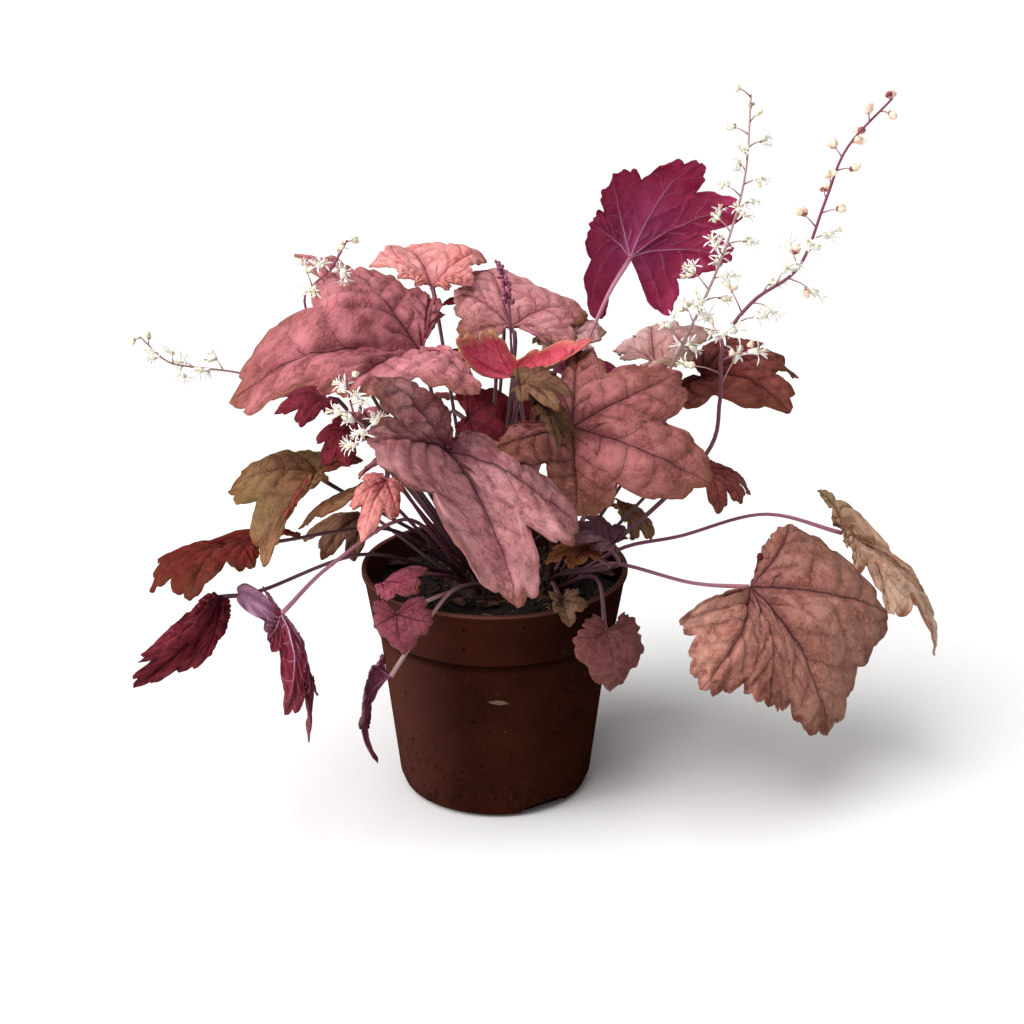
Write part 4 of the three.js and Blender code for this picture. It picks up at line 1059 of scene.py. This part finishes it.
def add_petal(bm, matrix, length, width):
    """A narrow pointed petal: a ball pressed almost flat, widest in the middle, bent outwards."""
    ball = bmesh.ops.create_uvsphere(bm, u_segments=6, v_segments=5, radius=1)["verts"]
    for vert in ball:
        along, side, thick = (vert.co.z + 1) / 2, vert.co.x, vert.co.y
        bend = length * (PETAL_RISE * along - PETAL_FALL * along**2)
        vert.co = (along * length, side * width, thick * PETAL_THICKNESS + bend)
    bmesh.ops.transform(bm, matrix=matrix, verts=ball)
    paint_faces(ball, PETAL_SKIN)


print("petals", round(2 * PETAL_WIDTH, 5), "m wide")

# %% A flower
CUP_RADIUS = 0.0017
CUP_LENGTH = 0.0040
CUP_FOOT = 0.45
CUP_SIDES = 8
PETALS = 5
PETAL_SEAT = 0.8 * CUP_RADIUS
PETAL_LEAN = (-0.9, -0.1)
PETAL_SHIFT = 0.2
STAMEN_LEAN = 0.34
STAMEN_LENGTH = 0.9 * FLOWER_RADIUS
STAMEN_RADII = (0.00010, 0.00024)


def add_cone(bm, matrix, radii, length, sides, skin):
    cone = bmesh.ops.create_cone(bm, segments=sides, radius1=radii[0], radius2=radii[1], depth=length,
                                 cap_ends=True)["verts"]
    bmesh.ops.transform(bm, matrix=matrix, verts=cone)
    paint_faces(cone, skin)


def add_flower(bm, at, way, size, random):
    """A bell: a cup on its foot, petals spreading at the mouth, stamens reaching past them."""
    place = turned_to(way, at)
    cup_radii = (CUP_RADIUS * CUP_FOOT * size, CUP_RADIUS * size)
    add_cone(bm, place, cup_radii, CUP_LENGTH * size, CUP_SIDES, CUP_SKIN)
    mouth = place @ Matrix.Translation((0, 0, CUP_LENGTH * size / 2))
    start = random.uniform(0, 2 * math.pi)
    for petal in range(PETALS):
        shift = random.uniform(-PETAL_SHIFT, PETAL_SHIFT)
        turn = mouth @ Matrix.Rotation(start + 2 * math.pi * petal / PETALS + shift, 4, "Z")
        lean = Matrix.Rotation(random.uniform(*PETAL_LEAN), 4, "Y")
        out = Matrix.Translation((PETAL_SEAT * size, 0, 0))
        add_petal(bm, turn @ out @ lean, FLOWER_RADIUS * size, PETAL_WIDTH * size)
        half_turn = Matrix.Rotation(math.pi / PETALS, 4, "Z") @ Matrix.Rotation(STAMEN_LEAN, 4, "Y")
        reach_up = half_turn @ Matrix.Translation((0, 0, STAMEN_LENGTH * size / 2))
        add_cone(bm, turn @ reach_up, STAMEN_RADII, STAMEN_LENGTH * size, 4, STAMEN_SKIN)


print("a flower has", PETALS, "petals, and is", 2 * FLOWER_RADIUS, "m across")

# %% Finishes of the sprays
TINT_DRIFT = 420
DOWN = 2600


def cup_finish(name, base, tip):
    """Waxy and finely hairy; the tint drifts between two colours with small noise."""
    finish = Finish(name)
    tint = finish.noise(finish.place(), TINT_DRIFT, detail=3).ramp(0.35, 0.65)
    down = finish.noise(finish.place(), DOWN, detail=1)
    colour = finish.mix(tint, paint(base), paint(tip))
    return finish.show(Base_Color=colour, Roughness=0.5 + down * 0.2, Normal=finish.bump(down, 0.0001, 0.6))


stem_skins = {
    "wine": stalk_finish("stem wine", "3c101c", "7c3048"),
    "mauve": stalk_finish("stem mauve", "6c4448", "b0908c"),
    "night": stalk_finish("stem night", "240a14", "6c3450"),
}
branch_skin = stalk_finish("flower stalk", "7c4450", "c09690")
cup_skin = cup_finish("flower cup", "d6d2b8", "f4f0e6")
petal_skin = cup_finish("petal", "eeedf0", "ffffff")
stamen_skin = cup_finish("stamen", "e4d4ac", "fbf6e8")
pale_bud = cup_finish("bud cream", "dcae98", "f4e6cc")
green_bud = cup_finish("bud green", "ccc8a0", "ece4d0")
night_bud = cup_finish("bud night", "6c2440", "b06080")
red_calyx = cup_finish("calyx red", "6c2830", "a85a58")
green_calyx = cup_finish("calyx green", "8c7c60", "b0a484")

print("stem skins", len(stem_skins))

# %% Branches and their heads
BUD_RADIUS = 0.0017
BRANCH_ARCH = 0.06
HEAD_DROOP = (-0.5, 0.2)
FLOWER_SIZES = (0.85, 1.08)
BUD_SIZES = (0.8, 1.1)
FORK_LIFT = 35
FORK_SWING = 60
FORK_SHARE = 0.24
FORK_SEATS = (0.68, 0.95)
FORK_OPEN = 0.8
SHORTEST_FORK = 0.0022
BUD_SKINS = {"spray_bud": (night_bud, red_calyx), "spray_arching": (pale_bud, red_calyx)}


def between(pair, share):
    return pair[0] + (pair[1] - pair[0]) * share


def branch_way(along, turn, lift):
    level = np.array([math.cos(math.radians(turn)), math.sin(math.radians(turn)), 0])
    out = unit(level - along * level.dot(along))
    return out * math.cos(math.radians(lift)) + along * math.sin(math.radians(lift))


def add_head(bm, start, way, length, opened, bell, random):
    """A branch that arches a little, with the flower or bud that it ends in."""
    end = start + way * length
    middle = start + way * length * 0.5 + [0, 0, BRANCH_ARCH * length]
    add_tube(bm, [start, middle, end], BRANCH_RADII, BRANCH_SIDES, BRANCH_STEPS, BRANCH_SKIN)
    facing = unit(way + [0, 0, random.uniform(*HEAD_DROOP)])
    if opened:
        add_flower(bm, end, facing, bell * random.uniform(*FLOWER_SIZES), random)
    else:
        add_bud(bm, end, facing, BUD_RADIUS * bell * random.uniform(*BUD_SIZES))


def add_branch(bm, spray, points, number, random):
    """One branch and its forks. Each turns on by the golden angle, as they do on a real stem."""
    share = number / (spray["branches"] - 1)
    (start,), (along,) = along_path(points, [between((spray["bloom"], LAST_BRANCH), share)])
    turn = spray["spin"] + GOLDEN_TURN * number
    way = branch_way(along, turn, BRANCH_LIFT)
    length, bell = between(metres(spray["branch"]), share), between(spray["bell"], share)
    opened = share < spray["open"]
    add_head(bm, start, way, length, opened, bell, random)
    for fork in range(1, spray["heads"]):
        swing = random.uniform(-FORK_SWING, FORK_SWING)
        fork_way = branch_way(unit(way), turn + 180 * fork + swing, FORK_LIFT)
        fork_at = start + way * length * random.uniform(*FORK_SEATS)
        still_open = opened and random.uniform() < FORK_OPEN
        add_head(bm, fork_at, fork_way, max(SHORTEST_FORK, length * FORK_SHARE), still_open, bell, random)


print("branches", sum(spray["branches"] for spray in SPRAYS))

# %% Every spray
FIRST_SEED = 40

for number, spray in enumerate(SPRAYS):
    random = np.random.default_rng(FIRST_SEED + number)
    stem = [metres(point) for point in spray["stem"]]
    points = [*stalk_start(spray, stem[0]), *stem]
    bm = bmesh.new()
    radii = [radius * spray["stout"] for radius in STEM_RADII]
    add_tube(bm, points, radii, STEM_SIDES, STEM_STEPS, STEM_SKIN)
    for branch in range(spray["branches"]):
        add_branch(bm, spray, points, branch, random)
    bud_skins = BUD_SKINS.get(spray["name"], (green_bud, green_calyx))
    skins = [stem_skins[spray["skin"]], cup_skin, petal_skin, stamen_skin, *bud_skins, branch_skin]
    piece = new_mesh(f"{spray['name']}_grown", bm, skins)
    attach(piece, "root")
    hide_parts(spray["name"])
    print(spray["name"], len(piece.data.polygons), "faces")

# %% [markdown]
# ## The nursery pot
#
# The pot is thin polypropylene, moulded in one shot: a tapered body, a stepped collar with a
# rolled lip for stacking, drain holes in the floor and two low arches at the foot. A profile spun
# round the axis gives the body, small bevels the moulded radii, and cutters the openings. Sizes
# that are plain on the solid, its height and its rim, are read from it.

# %% Pot sizes, from its solid
pot_low, pot_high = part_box("pot")
POT_HEIGHT = pot_high.z
RIM_RADIUS = (pot_high.x - pot_low.x) / 2
WALL = 0.0015
LIP_DEPTH = 0.0025
LIP_WIDTH = 0.001
COLLAR_DEPTH = 0.027
COLLAR_FOOT = 0.060
SHOULDER_STEP = 0.0026
BASE_RADIUS = 0.048
BASE_ROUNDING = 0.007
BASE_BEVEL = 0.002
SHOULDER_BEVEL = 0.0015
MOULD_RADIUS = 0.0004
POT_STEPS = 144
DRAIN_HOLES = 6
HOLE_RADIUS = 0.004
HOLE_CIRCLE = 0.028
FIRST_HOLE = 15
ARCH_HALF = 0.0135
ARCH_HEIGHT = 0.0075
ARCH_REACH = 0.008
ARCH_TURNS = (-58, 122)
print("pot", round(POT_HEIGHT, 3), "m tall, rim radius", round(RIM_RADIUS, 4), "m")


# %% Spin the pot
def spun(name, profile, steps, bevelled=()):
    """A profile that starts and ends on the axis, spun right round Z; some corners are rounded."""
    bm = bmesh.new()
    verts = [bm.verts.new((x, 0, z)) for x, z in profile]
    for pair in zip(verts, verts[1:]):
        bm.edges.new(pair)
    if bevelled:
        corners = [verts[i] for i in bevelled]
        bmesh.ops.bevel(bm, geom=corners, offset=MOULD_RADIUS, affect="VERTICES", segments=2, profile=0.5,
                        material=-1)
    bmesh.ops.spin(bm, geom=bm.verts[:] + bm.edges[:], axis=(0, 0, 1), cent=(0, 0, 0), steps=steps,
                   angle=2 * math.pi, use_merge=True)
    bmesh.ops.remove_doubles(bm, verts=bm.verts, dist=1e-6)
    bmesh.ops.recalc_face_normals(bm, faces=bm.faces)
    for face in bm.faces:
        face.smooth = True
    return new_mesh(name, bm)


shoulder = POT_HEIGHT - COLLAR_DEPTH
body_top = COLLAR_FOOT - SHOULDER_STEP
outside = [
    (0, 0), (BASE_RADIUS - BASE_ROUNDING, 0), (BASE_RADIUS - BASE_BEVEL, BASE_BEVEL),
    (BASE_RADIUS, BASE_ROUNDING), (body_top, shoulder - SHOULDER_BEVEL), (COLLAR_FOOT, shoulder),
    (RIM_RADIUS - LIP_WIDTH, POT_HEIGHT - LIP_DEPTH), (RIM_RADIUS, POT_HEIGHT - LIP_DEPTH),
    (RIM_RADIUS, POT_HEIGHT),
]
inside = [
    (RIM_RADIUS - LIP_WIDTH - WALL, POT_HEIGHT), (COLLAR_FOOT - WALL, shoulder + WALL),
    (body_top - WALL, shoulder - SHOULDER_BEVEL + WALL), (BASE_RADIUS - WALL, BASE_ROUNDING),
    (BASE_RADIUS - BASE_ROUNDING, WALL), (0, WALL),
]
pot = spun("pot_moulded", outside + inside, POT_STEPS, bevelled=range(1, len(outside) + 1))
print("pot before its openings", len(pot.data.polygons), "faces")


# %% Cut the drains and the arches
HOLE_SIDES = 24
ARCH_SIDES = 40


def cutter(name, matrix, radius, depth, segments):
    bm = bmesh.new()
    bmesh.ops.create_cone(bm, segments=segments, radius1=radius, radius2=radius, depth=depth, cap_ends=True,
                          matrix=matrix)
    return new_mesh(name, bm)


cutters = []
for hole in range(DRAIN_HOLES):
    turn = math.radians(360 * hole / DRAIN_HOLES + FIRST_HOLE)
    place = Matrix.Translation((HOLE_CIRCLE * math.cos(turn), HOLE_CIRCLE * math.sin(turn), 0))
    cutters.append(cutter(f"hole {hole}", place, HOLE_RADIUS, 4 * WALL, HOLE_SIDES))
for turn in ARCH_TURNS:
    spin_round = Matrix.Rotation(math.radians(turn), 4, "Z")
    squash = Matrix.Diagonal((1, 1, ARCH_HEIGHT / ARCH_HALF, 1))
    lying = Matrix.Rotation(math.radians(90), 4, "Y")
    place = spin_round @ Matrix.Translation((BASE_RADIUS, 0, 0)) @ squash @ lying
    cutters.append(cutter(f"arch {turn}", place, ARCH_HALF, 2 * ARCH_REACH, ARCH_SIDES))
for tool in cutters:
    cut = pot.modifiers.new(tool.name, "BOOLEAN")
    cut.object = tool
    cut.solver = "EXACT"
opened = bpy.data.meshes.new_from_object(pot.evaluated_get(bpy.context.evaluated_depsgraph_get()))
pot.modifiers.clear()
pot.data = opened
for tool in cutters:
    bpy.data.objects.remove(tool)
print("pot faces", len(pot.data.polygons))

# %% [markdown]
# ## Moulded plastic
#
# The plastic is dark brown and matt from handling. Its left side is painted lighter and greyer, as
# light falls from the left, its right side is painted darker with shade, and a painted highlight
# runs along the lip. Black specks and clumps of compost, pale grains of lime and a splash of dust at
# the foot tell that it has been watered, a line of painted shadow lies under the step, and there is
# one dried scrape. Each is a mask, and the coats are laid in order.

# %% Where the marks lie
SCRAPE_AT = (0.0018, 0.067)
SCRAPE_SIZE = (0.0046, 0.0012)
SCRAPE_TILT = 0.12
SPLASH_TOP = 0.062
# how far below the shoulder, or the rim, a mark starts and is full
STEP_SHADOW_FOOT = (0.007, 0.0015)
STEP_SHADOW_TOP = (-0.0004, 0.0008)
LIP_HIGHLIGHT = (0.0014, 0.0004)
POT_CLOUDS = 18
POT_PATCHES = 60
POT_CLUMPS = 75
POT_DUST = 160
POT_SPECKS = 170
POT_LIME = 330
SCRAPE_GRAIN = 900
POT_GRAIN = 2200

plastic = Finish("moulded plastic")
here = plastic.place()
across, depth, height = plastic.axes(here)
cloud = plastic.noise(here, POT_CLOUDS, detail=5, roughness=0.6)
dust = plastic.noise(here, POT_DUST, detail=6, roughness=0.75)
patches = plastic.noise(here, POT_PATCHES)
specks = plastic.cells(here, POT_SPECKS).ramp(0.18, 0.11) * patches.ramp(0.46, 0.56)
clumps = (plastic.cells(here, POT_CLUMPS) - (dust - 0.5) * 0.6).ramp(0.1, 0.05)
low_down = height.ramp(SPLASH_TOP, 0)
lime = plastic.cells(here, POT_LIME).ramp(0.11, 0.06) * (low_down * 0.15 + patches - 0.1).ramp(0.53, 0.6)
# painted shadow: a dark band just under the collar's overhang
step = height.ramp(*(shoulder - drop for drop in STEP_SHADOW_FOOT))
step = step * height.ramp(*(shoulder - drop for drop in STEP_SHADOW_TOP))
# painted highlight along the top of the lip
lip_highlight = height.ramp(*(POT_HEIGHT - drop for drop in LIP_HIGHLIGHT))
scrape_x = (across - SCRAPE_AT[0]) / SCRAPE_SIZE[0]
scrape_z = (height - SCRAPE_AT[1] + across * SCRAPE_TILT) / SCRAPE_SIZE[1]
ragged = (plastic.noise(here, SCRAPE_GRAIN, detail=3) - 0.5) * 2.2
scrape = (scrape_x * scrape_x + scrape_z * scrape_z + ragged).ramp(1.15, 0.6) * depth.ramp(0, -0.02)
grain = plastic.noise(here, POT_GRAIN, detail=1)
print("marks end", SPLASH_TOP, "m up the pot, and the step is at", round(shoulder, 3))

# %% Coats of the plastic
brown = plastic.mix(cloud.ramp(0.3, 0.7), paint("26100b"), paint("35180f"))
brown = plastic.coats(
    brown,
    # painted light: the left side lighter and greyer
    (across.ramp(-0.01, -0.055) * 0.6, "51302a"),
    # painted shade: the right side darker
    (across.ramp(0, 0.05) * 0.45, "180a07"),
    (dust.ramp(0.6, 0.75) * 0.25, "7c4c38"),
    (low_down * dust.ramp(0.5, 0.6) * 0.6, "140a07"),
    # painted shadow under the collar's step
    (step * 0.75, "0c0504"),
    (specks * 0.85, "0e0706"),
    (clumps * 0.7, "100806"),
    (lime * 0.6, "8c7260"),
    (scrape * 0.45, "8c7460"),
    # painted highlight along the lip
    (lip_highlight * 0.5, "7c5044"))
pot.data.materials.append(plastic.show(
    Base_Color=brown, Specular_IOR_Level=0, Roughness=0.42 + dust * 0.25 + specks * 0.2,
    Normal=plastic.bump(grain + specks * 3 + lime * 3 + scrape * 2, 0.0001, 0.5)))
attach(pot, "root")
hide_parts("pot")
print("pot finish nodes", len(plastic.tree.nodes))

# %% [markdown]
# ## Soil and rootstock
#
# Potting mix is peat and composted bark: dark, crumbly and full of tan fibres. A fine disc with
# noise for lumps makes the bed, small crumbs and fibres lie on it, and the rootstock pushes up
# through the middle as two rough, woody knobs covered in the stubs of old leaf bases.

# %% The bed of soil
soil_low, soil_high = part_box("soil")
SOIL_TOP = 0.102
SOIL_RADIUS = min(soil_high.x, -soil_low.x)
SOIL_FLOOR = soil_low.z
BED_TURNS = 120
BED_RINGS = 40
LUMP = 0.0013
AIR = 0.0003
TAPER = 0.0062
SINK = 0.001
SKIN_DEPTH = 0.0001


def soil_height(x, y):
    """Lumps of three sizes: crossed waves, of so many radians a metre."""
    wide = math.sin(310 * x + 0.9) * math.cos(270 * y - 0.4)
    fine = math.sin(830 * x + 500 * y) * math.cos(610 * y - 700 * x)
    rough = math.sin(2900 * x + 1.3) * math.sin(3300 * y) * 0.3 + math.sin(5200 * x - 4100 * y) * 0.18
    return SOIL_TOP + LUMP * (0.5 * wide + 0.3 * fine + 0.4 * rough)


bottom = [(0, SOIL_FLOOR), (BASE_RADIUS - BASE_ROUNDING - AIR, SOIL_FLOOR)]
side = [(SOIL_RADIUS - TAPER, shoulder - SINK)]
rings = [(SOIL_RADIUS * (1 - i / BED_RINGS), SOIL_TOP) for i in range(BED_RINGS + 1)]
soil = spun("soil_bed", bottom + side + rings, BED_TURNS)
bm = bmesh.new()
bm.from_mesh(soil.data)
for vert in bm.verts:
    if vert.co.z > SOIL_TOP - SKIN_DEPTH:
        vert.co.z = soil_height(vert.co.x, vert.co.y)
print("bed of soil", round(2 * SOIL_RADIUS, 3), "m across")

# %% Crumbs, fibres and flakes of leaf
EARTH_SKIN, FIBRE_SKIN, FLAKE_SKIN = range(3)
CRUMBS = 420
CRUMB_SIZE = (0.0006, 0.0019)
CRUMB_SHAPE = (0.7, 1.25)
FIBRES = 110
FIBRE_LENGTH = (0.003, 0.010)
FIBRE_RADII = [0.00022, 0.0003, 0.00015]
FIBRE_LIFT = 0.0009
FIBRE_ARCH = 0.0012
FIBRE_KINK = (0.3, 1)
FLAKES = 18
FLAKE_SIZE = (0.005, 0.012)
FLAKE_CURL = (0.5, 1.3)
FLAKE_EDGE = (0.75, 1.1)
FLAKE_WIDTH = 0.32
FLAKE_THICKNESS = 0.0003
FLAKE_LIFT = 0.0012
LITTERED = 0.97
SOIL_SEED = 3
random = np.random.default_rng(SOIL_SEED)


def spot_on_soil():
    turn, out = random.uniform(0, 2 * math.pi), SOIL_RADIUS * LITTERED * math.sqrt(random.uniform(0, 1))
    x, y = out * math.cos(turn), out * math.sin(turn)
    return x, y, soil_height(x, y)


for crumb in range(CRUMBS):
    x, y, z = spot_on_soil()
    size = random.uniform(*CRUMB_SIZE)
    ball = bmesh.ops.create_icosphere(bm, subdivisions=1, radius=size)["verts"]
    for vert in ball:
        vert.co *= random.uniform(*CRUMB_SHAPE)
    bmesh.ops.translate(bm, verts=ball, vec=(x, y, z + size / 4))
    paint_faces(ball, EARTH_SKIN, smooth=False)
for fibre in range(FIBRES):
    x, y, z = spot_on_soil()
    turn, length = random.uniform(0, 2 * math.pi), random.uniform(*FIBRE_LENGTH)
    half = np.array([math.cos(turn), math.sin(turn), 0]) * length / 2
    middle = np.array([x, y, z + FIBRE_LIFT])
    arched = middle + [0, 0, random.uniform(0, FIBRE_ARCH)]
    end = middle + half * random.uniform(*FIBRE_KINK)
    add_tube(bm, [middle - half, arched, end], FIBRE_RADII, 4, 5, FIBRE_SKIN)
for flake in range(FLAKES):
    x, y, z = spot_on_soil()
    long, curl = random.uniform(*FLAKE_SIZE), random.uniform(*FLAKE_CURL)
    bit = bmesh.ops.create_uvsphere(bm, u_segments=8, v_segments=6, radius=1)["verts"]
    for vert in bit:
        along, side, thick = vert.co.z, vert.co.x, vert.co.y
        edge = random.uniform(*FLAKE_EDGE)
        bend = curl * long * (side**2 * 0.3 + along**2 * 0.12)
        vert.co = (along * long / 2 * edge, side * long * FLAKE_WIDTH * edge, thick * FLAKE_THICKNESS + bend)
    bmesh.ops.rotate(bm, verts=bit, matrix=Matrix.Rotation(random.uniform(0, 2 * math.pi), 3, "Z"))
    bmesh.ops.translate(bm, verts=bit, vec=(x, y, z + FLAKE_LIFT))
    paint_faces(bit, FLAKE_SKIN)
bm.to_mesh(soil.data)
bm.free()
print("soil faces", len(soil.data.polygons))

# %% Finishes of the soil
CLODS = 130
CHIPS = 320
FIBRE_GRAIN = 240
FLAKE_GRAIN = 320


def dry_finish(name, colours, contrast, rough, relief, **grain):
    """Dry plant matter: one noise drifts between two colours and raises the surface."""
    finish = Finish(name)
    fleck = finish.noise(finish.place(), **grain)
    colour = finish.mix(fleck.ramp(*contrast), *map(paint, colours))
    return finish.show(Base_Color=colour, Roughness=rough, Normal=finish.bump(fleck, *relief))


earth = Finish("potting mix")
here = earth.place()
clods = earth.noise(here, CLODS, detail=8, roughness=0.75)
chips = earth.cells(here, CHIPS)
peat = earth.mix(clods.ramp(0.35, 0.7), paint("0f0a08"), paint("2c1e17"))
peat = earth.coats(peat, (chips.ramp(0.12, 0.05) * clods.ramp(0.5, 0.6), "5c4430"))
earth.show(Base_Color=peat, Roughness=0.9 - clods * 0.2, Normal=earth.bump(clods + chips * 0.5, 0.0012, 0.9))
straw = dry_finish("bark fibre", ("5c4028", "a88058"), (0.3, 0.7), 0.8, (0.0003, 0.6),
                   scale=FIBRE_GRAIN, detail=4)
litter = dry_finish("dead leaf", ("2c1a12", "6c4a34"), (0.35, 0.65), 0.75, (0.0006, 0.8),
                    scale=FLAKE_GRAIN, detail=5, roughness=0.7)
for material in (earth.material, straw, litter):
    soil.data.materials.append(material)
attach(soil, "root")
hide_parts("soil")
print("soil finishes", [material.name for material in soil.data.materials])

# %% The rootstock
# KNOB and STUB_SEAT: shares of a crown's radius. Stubs start inside the knob, so none floats.
KNOB = 0.93
STUBS = 46
STUB_SLOPES = (0.15, 1.35)
STUB_SEAT = 0.86
STUB_LENGTH = (0.003, 0.006)
STUB_RADII = [0.0019, 0.0015, 0.0008]
STUB_UPTURN = 0.6
BARK = 210

bm = bmesh.new()
for (x, y), radius in CROWNS.values():
    knob = bmesh.ops.create_icosphere(bm, subdivisions=4, radius=radius * KNOB)["verts"]
    for vert in knob:
        turn = math.atan2(vert.co.y, vert.co.x)
        wide = math.sin(9 * turn + 40 * vert.co.z / radius) * 0.02
        fine = math.sin(23 * turn + 900 * vert.co.z) * 0.012
        vert.co *= 1 + (wide + fine)
    bmesh.ops.translate(bm, verts=knob, vec=(x, y, CROWN_Z))
    paint_faces(knob, 0)
    for stub in range(STUBS):
        turn, slope = random.uniform(0, 2 * math.pi), random.uniform(*STUB_SLOPES)
        way = np.array([math.cos(slope) * math.cos(turn), math.cos(slope) * math.sin(turn), math.sin(slope)])
        start = np.array([x, y, CROWN_Z]) + way * radius * STUB_SEAT
        lean = unit(way + [0, 0, STUB_UPTURN]) * random.uniform(*STUB_LENGTH)
        add_tube(bm, [start, start + lean * 0.6, start + lean], STUB_RADII, 6, 4, 0)
rootstock = new_mesh("rootstock_grown", bm)
bark = Finish("rootstock bark")
here = bark.place()
ridges = bark.noise(here, BARK, detail=7, roughness=0.7)
wood = bark.mix(ridges.ramp(0.3, 0.7), paint("23120d"), paint("5c3a2a"))
rootstock.data.materials.append(bark.show(
    Base_Color=wood, Roughness=0.85 - ridges * 0.1, Normal=bark.bump(ridges, 0.001, 0.9)))
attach(rootstock, "root")
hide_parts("rootstock")
print("rootstock faces", len(rootstock.data.polygons))
